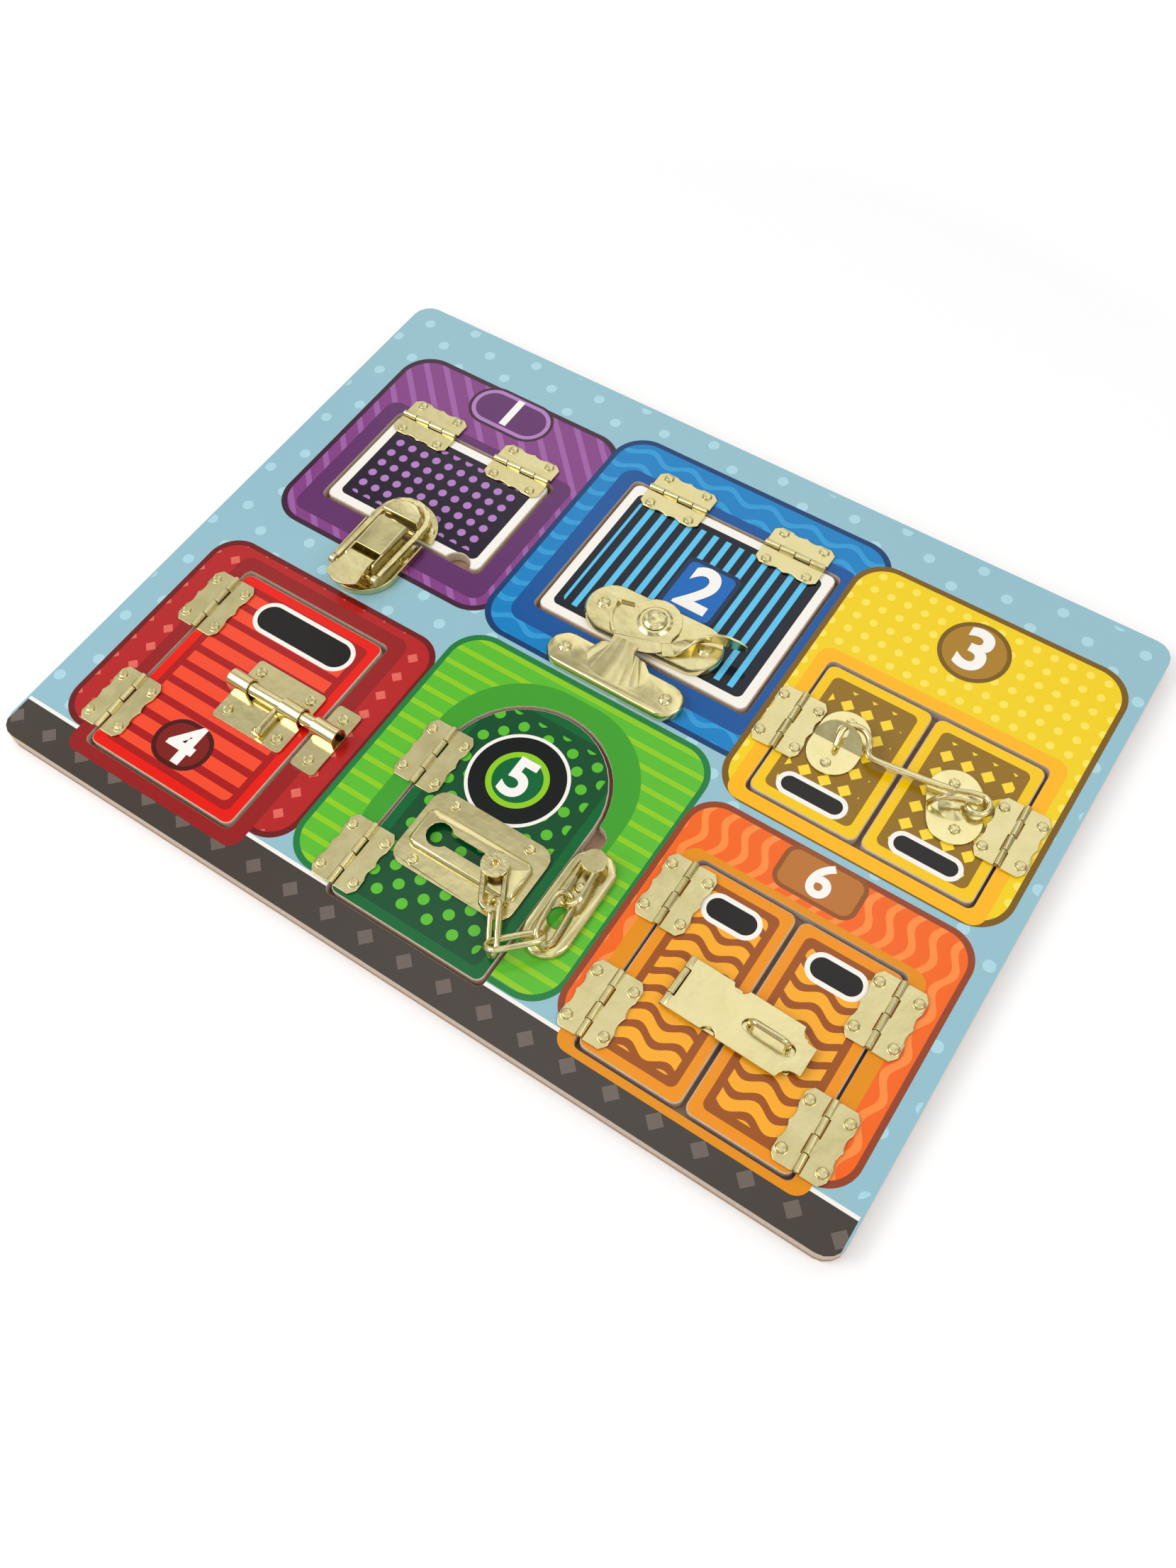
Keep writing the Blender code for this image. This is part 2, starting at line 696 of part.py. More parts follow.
def arched(edges, corner):
    """An outline with a half round top, which springs at edges.top."""
    radius = (edges.right - edges.left) / 2
    top = arc((edges.left + edges.right) / 2, edges.top, radius, 0, 180, 2 * ROUND_STEPS)
    left = arc(edges.left + corner, edges.bottom + corner, corner, 180, 270, CORNER_STEPS)
    right = arc(edges.right - corner, edges.bottom + corner, corner, 270, 360, CORNER_STEPS)
    return top + left + right


def outline_of(name, edges, corner):
    if name == "door_5":
        return arched(edges, corner)
    return rounded_box(*edges, corner)


def back_board():
    outline = centred_box(0, 0, BOARD_LENGTH, BOARD_WIDTH, BOARD_CORNER)
    body = eased(flattened(prism(outline, 0, BACK_THICKNESS)), EDGE_EASE)
    return kept(body, "back_board", "raw_fibreboard", frame_at(0, 0, z=0))


def front_board():
    """The panel with its six openings and the finger scoop beside door 5."""
    outline = centred_box(0, 0, BOARD_LENGTH, BOARD_WIDTH, BOARD_CORNER)
    holes = [outline_of(name, edges, OPENING_CORNER) for name, edges in OPENINGS.items()]
    body = prism(outline, -FRONT_THICKNESS, 0, holes=holes)
    scoop = disc(SCOOP_RADIUS, -FRONT_THICKNESS - CUT_OVERRUN, CUT_OVERRUN, ROUND_STEPS * 2)
    body = cut(body, moved(scoop, OPENINGS["door_5"].right, SCOOP_Y))
    body = eased(flattened(body), EDGE_EASE)
    return kept(body, "front_board", "printed_board", frame_at(0, 0))


def flap(name, opening, hinge_side, finish, edges):
    """A flap that lies flush in its opening, with its origin on its hinge line."""
    body = prism(outline_of(opening, edges, FLAP_CORNER), -FRONT_THICKNESS, 0)
    if name == "window_1":
        notch = disc(NOTCH_RADIUS, -FRONT_THICKNESS - CUT_OVERRUN, CUT_OVERRUN, ROUND_STEPS * 2)
        x = edges.right - NOTCH_FROM_RIGHT
        body = cut(body, moved(notch, x, edges.bottom - NOTCH_RADIUS + NOTCH_DEPTH))
    body = eased(flattened(body), EDGE_EASE)
    x, y = hinge_line(opening, hinge_side)
    return kept(body, name, finish, frame_at(0, 0), pivot=(x, y, HINGE_PIN_HEIGHT))


def hinge_line(opening, hinge_side):
    """A point on the hinge line, midway along the opening's edge."""
    edges = OPENINGS[opening]
    x = (edges.left + edges.right) / 2
    y = (edges.bottom + edges.top) / 2
    if opening == "door_5":
        y = DOOR_5_HINGE_Y
    if hinge_side == "top":
        y = edges.top - HINGE_GAP / 2
    elif hinge_side == "left":
        x = edges.left + HINGE_GAP / 2
    else:
        x = edges.right - HINGE_GAP / 2
    return x, y


def flap_edges(opening, hinge_side, paired):
    """The flap's edges: its opening's, less the gaps round it."""
    edges = OPENINGS[opening]
    middle = (edges.left + edges.right) / 2
    left = edges.left + (HINGE_GAP if hinge_side == "left" else FREE_GAP)
    right = edges.right - (HINGE_GAP if hinge_side == "right" else FREE_GAP)
    if paired and hinge_side == "left":
        right = middle - PAIR_GAP / 2
    if paired and hinge_side == "right":
        left = middle + PAIR_GAP / 2
    top = edges.top - (HINGE_GAP if hinge_side == "top" else FREE_GAP)
    if opening == "door_5":
        top = edges.top
    return Opening(left, right, edges.bottom + FREE_GAP, top)


# Hinges: each has a leaf on the board, with the pin, and a leaf on the flap
HINGE_TURNS = {"top": 0, "left": 90, "right": -90}


def knuckle_span(place):
    """Where one of the four knuckles starts and ends along the pin."""
    step = HINGE_LENGTH / 4
    start = place * step - HINGE_LENGTH / 2
    return start + KNUCKLE_GAP / 2, start + step - KNUCKLE_GAP / 2


def hinge_leaf():
    """A leaf with its two knuckles round the X axis, its plate on the +Y side and its rivets."""
    low = SEAT_GAP - HINGE_PIN_HEIGHT
    high = low + SHEET
    inner = KNUCKLE_RADIUS + KNUCKLE_CLEARANCE
    half = [(x * HINGE_LENGTH / 2, y * HINGE_WIDTH) for x, y in leaf_edge_shares]
    outline = half + [(HINGE_LENGTH / 2, inner), (-HINGE_LENGTH / 2, inner)]
    outline += [(-x, y) for x, y in reversed(half[1:])]
    plate = prism(outline, low, high)
    extras = []
    for place in (0, 2):
        start, end = knuckle_span(place)
        extras.append(disc(KNUCKLE_RADIUS, start, end, KNUCKLE_SIDES, "X"))
        web = box(start + NUDGE, end - NUDGE, 0, inner + SHEET)
        extras.append(prism(web, low, high))
    for side in (-1, 1):
        extras.append(rivet(side * HINGE_RIVET_SPACING / 2, HINGE_RIVET_OFFSET, high))
    return joined(plate, *extras)


def hinge_meshes():
    """The two leaves that every hinge repeats."""
    half = HINGE_LENGTH / 2
    pin = disc(HINGE_PIN_RADIUS, -half + KNUCKLE_GAP, half, BORE_SIDES, "X")
    frame_leaf = joined(hinge_leaf(), pin)
    bore = disc(HINGE_BORE, -half - CUT_OVERRUN, half + CUT_OVERRUN, BORE_SIDES, "X")
    door_leaf = turned_about(cut(hinge_leaf(), bore), 180, "Z")
    meshes = []
    for body, name in ((frame_leaf, "frame_leaf"), (door_leaf, "door_leaf")):
        mesh = flattened(body).data
        mesh.name = name
        mesh.shade_smooth()
        mesh.set_sharp_from_angle(angle=math.radians(SMOOTH_ANGLE))
        mesh.materials.clear()
        mesh.materials.append(material("brassed_hinge"))
        bpy.data.objects.remove(body, do_unlink=True)
        meshes.append(mesh)
    return meshes


def hinges(label, opening, hinge_side, spacing, door, board, meshes):
    """The hinges of one flap. Two stand the same way from the middle of its edge."""
    x, y = hinge_line(opening, hinge_side)
    shifts = {"": 0.0} if spacing is None else {"a": spacing / 2, "b": -spacing / 2}
    for letter, shift in shifts.items():
        if hinge_side == "top":
            where = frame_at(x - shift, y)
        else:
            where = frame_at(x, y + shift, HINGE_TURNS[hinge_side])
        where = where @ Matrix.Translation((0, 0, HINGE_PIN_HEIGHT))
        name = f"hinge_{label}{letter}"
        placed(meshes[0], f"{name}_frame_leaf", where, board)
        placed(meshes[1], f"{name}_door_leaf", where, door)


# Draw latch
def draw_base_outline(wall):
    """The pan's outline, or with a wall its inside, which runs out past the open end."""
    half = DRAW_BASE_HALF_WIDTH - wall
    top = DRAW_PIVOT_DROP - DRAW_PAN_SETBACK + (CUT_OVERRUN if wall else 0)
    return [(half, top), (-half, top)] + arc(0, DRAW_BASE_ROUND_Y, half, 180, 360, 2 * ROUND_STEPS)


def draw_latch_base(frame, board):
    """A pan with a bridge over its open end and two lugs that hold the lever's pin."""
    pan = prism(draw_base_outline(0), SEAT_GAP, DRAW_RIM_TOP)
    pan = cut(pan, prism(draw_base_outline(SHEET), PLATE_TOP, DRAW_RIM_TOP + CUT_OVERRUN))
    top_y = DRAW_PIVOT_DROP - SEAT_GAP
    half = DRAW_BRIDGE_HALF_WIDTH
    low = SEAT_GAP + SHEET / 2
    section = round_topped(half, low, DRAW_BRIDGE_TOP, DRAW_BRIDGE_ROUND)
    bridge = prism(section, DRAW_BRIDGE_FOOT, top_y, "Y")
    inner = half - DRAW_SHEET
    tunnel = round_topped(inner, PLATE_TOP, DRAW_BRIDGE_TOP - DRAW_SHEET, DRAW_SHEET / 2)
    bridge = cut(bridge, prism(tunnel, DRAW_BRIDGE_FOOT - CUT_OVERRUN, top_y + CUT_OVERRUN, "Y"))
    body = joined(pan, bridge)
    lug = arc(0, LEVER_PIVOT_HEIGHT, LUG_RADIUS, 90, 180, CORNER_STEPS)
    lug += [(-LUG_RADIUS, low), (DRAW_BRIDGE_FOOT + DRAW_SHEET, low)]
    lug += [(DRAW_BRIDGE_FOOT + DRAW_SHEET, LEVER_PIVOT_HEIGHT + LUG_RADIUS)]
    pin_end = half - DRAW_SHEET / 4
    lugs = [prism(lug, inner, half, "X"), prism(lug, -half, -inner, "X")]
    pin = moved(disc(LEVER_PIN_RADIUS, -pin_end, pin_end, BORE_SIDES, "X"), z=LEVER_PIVOT_HEIGHT)
    rivets = [rivet(side * DRAW_RIVET_X, DRAW_RIVET_Y, PLATE_TOP) for side in (-1, 1)]
    body = joined(body, *lugs, pin, *rivets)
    return kept(body, "draw_latch_base", "brassed_latch", frame, board)


def draw_latch_lever(frame, base):
    """The tongue that a finger lifts, curled round its pin, with two ears for the bail's pin."""
    inner = DRAW_BRIDGE_HALF_WIDTH - DRAW_SHEET - SIDE_CLEARANCE
    high = LEVER_PIVOT_HEIGHT + LEVER_KNUCKLE
    half = LEVER_HALF_WIDTH
    tip_y = LEVER_LENGTH - LEVER_TIP_ROUND
    radius = (half * half + LEVER_TIP_ROUND * LEVER_TIP_ROUND) / (2 * LEVER_TIP_ROUND)
    spread = math.degrees(math.asin(half / radius))
    outline = [(inner, 0), (-inner, 0), (-inner, -LEVER_SHOULDER), (-half, -tip_y)]
    outline += arc(0, radius - LEVER_LENGTH, radius, 270 - spread, 270 + spread)[1:-1]
    outline += [(half, -tip_y), (inner, -LEVER_SHOULDER)]
    plate = moved(turned_about(prism(outline, -DRAW_SHEET, 0), -LEVER_RISE, "X"), z=high)
    knuckle = disc(LEVER_KNUCKLE, -inner, inner, PIN_SIDES, "X")
    body = joined(plate, moved(knuckle, z=LEVER_PIVOT_HEIGHT))
    ear = arc(-BAIL_PIN_OFFSET, BAIL_PIN_HEIGHT, BAIL_EYE_RADIUS, 180, 360, CORNER_STEPS)
    ear += [(BAIL_EYE_RADIUS - BAIL_PIN_OFFSET, high - DRAW_SHEET / 2)]
    ear += [(-BAIL_EYE_RADIUS - BAIL_PIN_OFFSET, high - DRAW_SHEET / 2)]
    ears = [
        prism(ear, inner - DRAW_SHEET, inner - NUDGE, "X"),
        prism(ear, NUDGE - inner, DRAW_SHEET - inner, "X"),
    ]
    body = joined(body, *ears)
    reach = half + CUT_OVERRUN
    bore = moved(disc(LEVER_BORE, -reach, reach, BORE_SIDES, "X"), z=LEVER_PIVOT_HEIGHT)
    eye = disc(BAIL_BORE, -reach, reach, BORE_SIDES, "X")
    body = cut(body, bore, moved(eye, y=-BAIL_PIN_OFFSET, z=BAIL_PIN_HEIGHT))
    pivot = (0, 0, LEVER_PIVOT_HEIGHT)
    return kept(body, "draw_latch_lever", "brassed_latch", frame, base, pivot)


def draw_latch_bail(frame, lever):
    """The flat ring that pulls the keeper, with its cross pin."""
    centre = DRAW_PIVOT_DROP + FREE_GAP + HUMP_FROM_EDGE - (HUMP_CAP - HUMP_NECK)
    outline = arc(0, centre, BAIL_OUTER, 0, 180, 2 * ROUND_STEPS)
    outline += [(-BAIL_OUTER, -BAIL_PIN_OFFSET), (-BAIL_INNER, -BAIL_PIN_OFFSET)]
    outline += arc(0, centre, BAIL_INNER, 180, 0, 2 * ROUND_STEPS)
    outline += [(BAIL_INNER, -BAIL_PIN_OFFSET), (BAIL_OUTER, -BAIL_PIN_OFFSET)]
    outline = [(x, y + BAIL_PIN_OFFSET) for x, y in outline]
    ring = turned_about(prism(outline, -BAIL_THICKNESS / 2, BAIL_THICKNESS / 2), -BAIL_SLOPE, "X")
    ring = moved(ring, y=-BAIL_PIN_OFFSET, z=BAIL_PIN_HEIGHT)
    eyes = [
        disc(BAIL_EYE_RADIUS, BAIL_INNER - NUDGE, BAIL_OUTER + NUDGE, PIN_SIDES, "X"),
        disc(BAIL_EYE_RADIUS, -BAIL_OUTER - NUDGE, NUDGE - BAIL_INNER, PIN_SIDES, "X"),
        disc(BAIL_PIN_RADIUS, -BAIL_OUTER + SHEET, BAIL_OUTER - SHEET, BORE_SIDES, "X"),
    ]
    eyes = [moved(eye, y=-BAIL_PIN_OFFSET, z=BAIL_PIN_HEIGHT) for eye in eyes]
    pivot = (0, -BAIL_PIN_OFFSET, BAIL_PIN_HEIGHT)
    return kept(joined(ring, *eyes), "draw_latch_bail", "brassed_latch", frame, lever, pivot)


def half_disc(x, y, radius, steps=ROUND_STEPS):
    return arc(x, y, radius, 0, 180, 2 * steps)


def draw_latch_keeper(frame, window):
    """A half round plate with the hump that the bail drops over."""
    edge = DRAW_PIVOT_DROP + FREE_GAP
    plate_y = edge + DRAW_KEEPER_FROM_EDGE - FREE_GAP
    hump_y = edge + HUMP_FROM_EDGE - FREE_GAP
    plate = prism(half_disc(0, plate_y, DRAW_KEEPER_RADIUS), SEAT_GAP, PLATE_TOP)
    neck = prism(half_disc(0, hump_y, HUMP_NECK), PLATE_TOP - SHEET / 2, HUMP_CAP_LOW + HUMP_EASE)
    cap = pressed(half_disc(0, hump_y, HUMP_CAP), HUMP_CAP_LOW, HUMP_TOP, HUMP_EASE)
    neck = moved(neck, y=NUDGE)
    rivet_y = plate_y + DRAW_KEEPER_RIVET_Y
    rivets = [rivet(side * DRAW_KEEPER_RIVET_X, rivet_y, PLATE_TOP) for side in (-1, 1)]
    body = joined(plate, neck, cap, *rivets)
    return kept(body, "draw_latch_keeper", "brassed_latch", frame, window)


# Sash lock
def hollow_pan(outline, inner_outline):
    """A plate with a turned down skirt, open underneath."""
    body = pressed(outline, SEAT_GAP, PAN_TOP, PAN_EASE)
    return cut(body, prism(inner_outline, SEAT_GAP - CUT_OVERRUN, PAN_TOP - SHEET))


def sash_lock_base(frame, window):
    """The base on the window, a little askew, with the stud that the cam turns on."""
    def outline(wall):
        length = SASH_BASE_LENGTH - 2 * wall
        height = SASH_BASE_HEIGHT - 2 * wall
        return centred_box(0, 0, length, height, height / 2, 2 * CORNER_STEPS)

    body = hollow_pan(outline(0), outline(SHEET))
    rivets = []
    for side in (-1, 1):
        rivets.append(rivet(side * SASH_RIVET_SPACING / 2, 0, PAN_TOP, SASH_RIVET_RADIUS, foot=SEAT_GAP))
    body = moved(turned_about(joined(body, *rivets), SASH_BASE_TURN, "Z"), SASH_BASE_X, SASH_BASE_Y)
    stud_top = CAM_BOSS_TOP + SEAT_GAP
    stud = [
        (0, stud_top + SASH_HEAD_HEIGHT),
        (0.55 * SASH_HEAD_RADIUS, stud_top + 0.85 * SASH_HEAD_HEIGHT),
        (0.9 * SASH_HEAD_RADIUS, stud_top + 0.45 * SASH_HEAD_HEIGHT),
        (SASH_HEAD_RADIUS, stud_top),
        (SASH_STUD_RADIUS, stud_top),
        (SASH_STUD_RADIUS, SEAT_GAP),
        (0, SEAT_GAP),
    ]
    body = joined(body, turned_shape(stud, 2 * RIVET_SIDES))
    return kept(body, "sash_lock_base", "brassed_latch", frame, window)


def cam_outline():
    points = []
    for degrees, share in cam_lobe_shares:
        turn = math.radians(degrees)
        points.append((share * CAM_RADIUS * math.cos(turn), share * CAM_RADIUS * math.sin(turn)))
    return points


def sash_lock_cam(frame, base):
    """The cam with its raised lip, its boss and the twisted handle."""
    high = CAM_LOW + CAM_THICKNESS
    plate = prism(cam_outline(), CAM_LOW, high)
    lobe = [(x, y) for x, y in cam_outline() if x < -LIP_START * CAM_RADIUS]
    lip = [(x * LIP_OUTER, y * LIP_OUTER) for x, y in lobe]
    lip += [(x * LIP_INNER, y * LIP_INNER) for x, y in reversed(lobe)]
    lip_body = prism(lip, high - CAM_THICKNESS / 2, high + CAM_LIP_HEIGHT)
    boss = turned_shape(
        [
            (0, CAM_BOSS_TOP),
            (0.84 * CAM_BOSS_RADIUS, CAM_BOSS_TOP),
            (CAM_BOSS_RADIUS, high),
            (CAM_BOSS_RADIUS, CAM_LOW + CAM_THICKNESS / 2),
            (0, CAM_LOW + CAM_THICKNESS / 2),
        ]
    )
    middle = CAM_LOW + CAM_THICKNESS / 2
    route = [
        (x * HANDLE_REACH, y * HANDLE_REACH, middle + z * HANDLE_REACH)
        for x, y, z, *_ in handle_route_shares
    ]
    twists = [180 * twist for *_, twist, _ in handle_route_shares]
    widths = [width for *_, width in handle_route_shares]
    handle = strip(route, twists, widths, HANDLE_WIDTH, HANDLE_SHEET)
    body = joined(plate, lip_body, boss, handle)
    bore = disc(CAM_BORE, -CUT_OVERRUN, CAM_BOSS_TOP + CUT_OVERRUN, 2 * RIVET_SIDES)
    return kept(cut(body, bore), "sash_lock_cam", "brassed_latch", frame, base)


def lofted(first, second):
    """A solid between two closed rings of points, each with a flat end."""
    shape = bmesh.new()
    loops = []
    for ring in (first, second):
        verts = [shape.verts.new(point) for point in ring]
        loop = [shape.edges.new(pair) for pair in zip(verts, verts[1:] + verts[:1])]
        bmesh.ops.contextual_create(shape, geom=loop)
        loops += loop
    bmesh.ops.bridge_loops(shape, edges=loops)
    bmesh.ops.triangulate(shape, faces=shape.faces)
    mesh = bpy.data.meshes.new("loft")
    shape.to_mesh(mesh)
    shape.free()
    return helper(cleaned(mesh))


def hood_form(wall, low, overrun):
    """The hood's form: an arch at its mouth that runs down to half an ellipse on the plate."""
    seat = PAN_TOP - SHEET / 2
    mouth = HOOD_MOUTH_WIDTH / 2 - wall
    height = HOOD_TOP - wall - seat
    foot = HOOD_FOOT_WIDTH / 2 - wall
    depth = HOOD_FOOT_DEPTH - wall
    y = hood_mouth() + overrun
    turns = [math.pi * i / ROUND_STEPS for i in range(ROUND_STEPS + 1)]
    bows = [max(math.sin(turn), 0) ** HOOD_FULLNESS for turn in turns]
    arch = [
        (HOOD_MOUTH_X + mouth * math.cos(turn), y, seat + height * bow) for turn, bow in zip(turns, bows)
    ]
    ellipse = [
        (HOOD_FOOT_X + foot * math.cos(turn), HOOD_FOOT_Y - depth * math.sin(turn), low) for turn in turns
    ]
    if low < seat:
        arch = [(arch[0][0], y, low)] + arch + [(arch[-1][0], y, low)]
        ellipse = [ellipse[0]] + ellipse + [ellipse[-1]]
    return lofted(arch, ellipse)


def hood_mouth():
    """The hood stops short of the window's edge as that swings out past it."""
    reach = WINDOW_2_HEIGHT - HINGE_GAP / 2 - FREE_GAP
    swing = math.hypot(reach, FRONT_THICKNESS + HINGE_PIN_HEIGHT) - reach
    return FREE_GAP - SASH_PIVOT_RISE - swing - HOOD_LIP_CLEARANCE


def sash_lock_keeper(frame, board):
    """The plate on the board, with the flared hood that the cam turns in under."""
    def outline(wall):
        return centred_box(
            SASH_KEEPER_X, -SASH_KEEPER_DROP, SASH_KEEPER_LENGTH - 2 * wall,
            SASH_KEEPER_HEIGHT - 2 * wall, SASH_KEEPER_HEIGHT / 2 - wall,
        )

    seat = PAN_TOP - SHEET / 2
    setback = hood_mouth() - HOOD_WALL_SETBACK
    under = HOOD_TOP - HOOD_WAY_DROP
    way = prism(box(setback, hood_mouth() + CUT_OVERRUN, 0, under), -HOOD_FOOT_WIDTH, HOOD_FOOT_WIDTH, "X")
    body = hollow_pan(outline(0), outline(SHEET))
    inside = hood_form(HOOD_SHEET, seat - CUT_OVERRUN, CUT_OVERRUN)
    body = cut(joined(body, hood_form(0, seat, 0)), inside, way)
    rivets = []
    for side in (-1, 1):
        x = SASH_KEEPER_X + side * SASH_KEEPER_RIVETS / 2
        rivets.append(rivet(x, -SASH_KEEPER_DROP, PAN_TOP, SASH_RIVET_RADIUS, foot=SEAT_GAP))
    return kept(joined(body, *rivets), "sash_lock_keeper", "brassed_latch", frame, board)


# Hook
def hook_plate(length, width, spacing):
    """The long round plate under each end of the hook, with its rivets along Y."""
    plate = prism(centred_box(0, 0, width, length, width / 2, 2 * CORNER_STEPS), SEAT_GAP, PLATE_TOP)
    rivets = [rivet(0, side * spacing / 2, PLATE_TOP) for side in (-1, 1)]
    return joined(plate, *rivets)


def hook_eye_plate(frame, door):
    """The plate with the arched eye that the hook's ring runs round."""
    low = PLATE_TOP - SHEET / 2
    arch = []
    for i in range(ROUND_STEPS + 3):
        turn = math.pi * i / (ROUND_STEPS + 2)
        arch.append((EYE_HALF_SPAN * math.cos(turn), 0, low + EYE_HEIGHT * math.sin(turn)))
    boss = turned_shape(
        [
            (0, PLATE_TOP + EYE_BOSS_HEIGHT), (0.5 * EYE_BOSS_RADIUS, PLATE_TOP + 0.9 * EYE_BOSS_HEIGHT),
            (EYE_BOSS_RADIUS, PLATE_TOP), (EYE_BOSS_RADIUS, low), (0, low),
        ],
        2 * RIVET_SIDES,
    )
    plate = hook_plate(EYE_PLATE_LENGTH, EYE_PLATE_WIDTH, EYE_PLATE_RIVETS)
    body = joined(plate, boss, wire(arch, EYE_WIRE, detail=1))
    return kept(body, "hook_eye_plate", "brassed_latch", frame, door)


def hook_catch_plate(frame, door):
    """The plate with the half round tab, folded up, that the hook's tip drops through."""
    width = CATCH_SLOT_WIDTH / 2
    slot = rounded_box(-width, width, CATCH_SLOT_LOW, CATCH_SLOT_HIGH, width)
    tab = prism(half_disc(0, 0, CATCH_TAB_RADIUS), -SHEET, 0, holes=[slot])
    tab = moved(turned_about(tab, CATCH_TAB_TURN, "X"), y=CATCH_CREASE_Y, z=PLATE_TOP - SHEET / 4)
    plate = hook_plate(CATCH_PLATE_LENGTH, CATCH_PLATE_WIDTH, CATCH_PLATE_RIVETS)
    return kept(joined(plate, tab), "hook_catch_plate", "brassed_latch", frame, door)


def hook_body(frame, eye_plate):
    """The bent wire hook. Its ring lies flat round the eye's leg, and it swings about that."""
    ring = [
        (x, y, HOOK_HEIGHT) for x, y in arc(0, 0, HOOK_RING_RADIUS, 112, -170, 2 * ROUND_STEPS)
    ]
    rod = [
        (x * HOOK_REACH, y * HOOK_REACH, HOOK_HEIGHT + z * HOOK_REACH) for x, y, z in hook_route_shares
    ]
    lead = [(-0.62 * HOOK_RING_RADIUS - 2 * HOOK_RING_WIRE, 0.72 * HOOK_RING_RADIUS, HOOK_HEIGHT)]
    route = list(reversed(rod)) + lead + ring
    body = wire(route, HOOK_RING_WIRE, detail=1)
    thick = wire(rod, HOOK_WIRE, detail=1)
    return kept(joined(body, thick), "hook", "brassed_wire", frame, eye_plate)


# Barrel bolt
def bolt_height():
    return PLATE_TOP + SEAT_GAP + BOLT_RADIUS + (BOLT_BORE - BOLT_RADIUS)


def barrel(start, end, foot):
    """A strip rolled over the bolt: round above, and straight down to its foot at each side."""
    outer = BOLT_BORE + BARREL_SHEET
    z = bolt_height()
    shell = half_disc(0, z, outer) + [(-outer, foot), (outer, foot)]
    hollow = half_disc(0, z, BOLT_BORE) + [(-BOLT_BORE, foot - CUT_OVERRUN), (BOLT_BORE, foot - CUT_OVERRUN)]
    hollow_body = prism(hollow, start - CUT_OVERRUN, end + CUT_OVERRUN, "X")
    return cut(prism(shell, start, end, "X"), hollow_body)


def bolt_plate(frame, door):
    """The plate with two barrels. The rear one overhangs, closed under the bolt."""
    outline = centred_box(0, 0, BOLT_PLATE_LENGTH, BOLT_PLATE_HEIGHT, BOLT_PLATE_CORNER, 2)
    foot = SEAT_GAP + SHEET / 2
    plate = prism(outline, SEAT_GAP, PLATE_TOP)
    outer = BOLT_BORE + BARREL_SHEET
    rear_floor = box(BARREL_REAR + NUDGE, BARREL_REAR_END - NUDGE, NUDGE - outer, outer - NUDGE)
    front_end = BOLT_PLATE_LENGTH / 2
    bodies = [
        barrel(BARREL_REAR, BARREL_REAR_END, foot),
        barrel(BARREL_FRONT, front_end - NUDGE, foot),
        prism(rear_floor, SEAT_GAP, PLATE_TOP),
    ]
    bodies += [
        rivet(x * BOLT_RIVET_X, y * BOLT_RIVET_Y - BOLT_Y, PLATE_TOP, BOLT_RIVET_RADIUS)
        for x in (-1, 1)
        for y in (-1, 1)
    ]
    return kept(joined(moved(plate, y=-BOLT_Y), *bodies), "bolt_plate", "brassed_latch", frame, door)


def bolt_rod(frame, plate):
    """The sliding bolt with its eased ends and the knob that stands out sideways."""
    ease = 0.35 * BOLT_RADIUS
    profile = [
        (0, BOLT_NOSE), (BOLT_RADIUS - ease, BOLT_NOSE), (BOLT_RADIUS, BOLT_NOSE - ease),
        (BOLT_RADIUS, BOLT_TAIL + ease), (BOLT_RADIUS - ease, BOLT_TAIL), (0, BOLT_TAIL),
    ]
    rod = turned_about(turned_shape(profile, 2 * RIVET_SIDES), 90, "Y")
    stem = [
        (0, KNOB_REACH), (0.7 * KNOB_HEAD, KNOB_REACH), (KNOB_HEAD, KNOB_REACH - 0.5 * KNOB_HEAD),
        (KNOB_STEM, KNOB_REACH - 1.3 * KNOB_HEAD), (KNOB_STEM, 0.5 * BOLT_RADIUS), (0, 0.5 * BOLT_RADIUS),
    ]
    knob = moved(turned_about(turned_shape(stem, PIN_SIDES), 90 + KNOB_DROOP, "X"), x=KNOB_X)
    body = moved(joined(rod, knob), z=bolt_height())
    return kept(body, "bolt_rod", "brassed_wire", frame, plate, (0, 0, bolt_height()))


def bolt_keeper(frame, board):
    """The bridge on the board that the bolt slides into."""
    half = BOLT_KEEPER_WIDTH / 2
    outline = centred_box(0, BOLT_KEEPER_Y, BOLT_KEEPER_WIDTH, BOLT_KEEPER_HEIGHT, BOLT_PLATE_CORNER, 2)
    plate = prism(outline, SEAT_GAP, PLATE_TOP)
    bridge = barrel(-half + NUDGE, half - NUDGE, SEAT_GAP + SHEET / 2)
    rivets = [
        rivet(0, BOLT_KEEPER_Y + side * BOLT_KEEPER_RIVETS / 2, PLATE_TOP, BOLT_RIVET_RADIUS)
        for side in (-1, 1)
    ]
    return kept(joined(plate, bridge, *rivets), "bolt_keeper", "brassed_latch", frame, board)


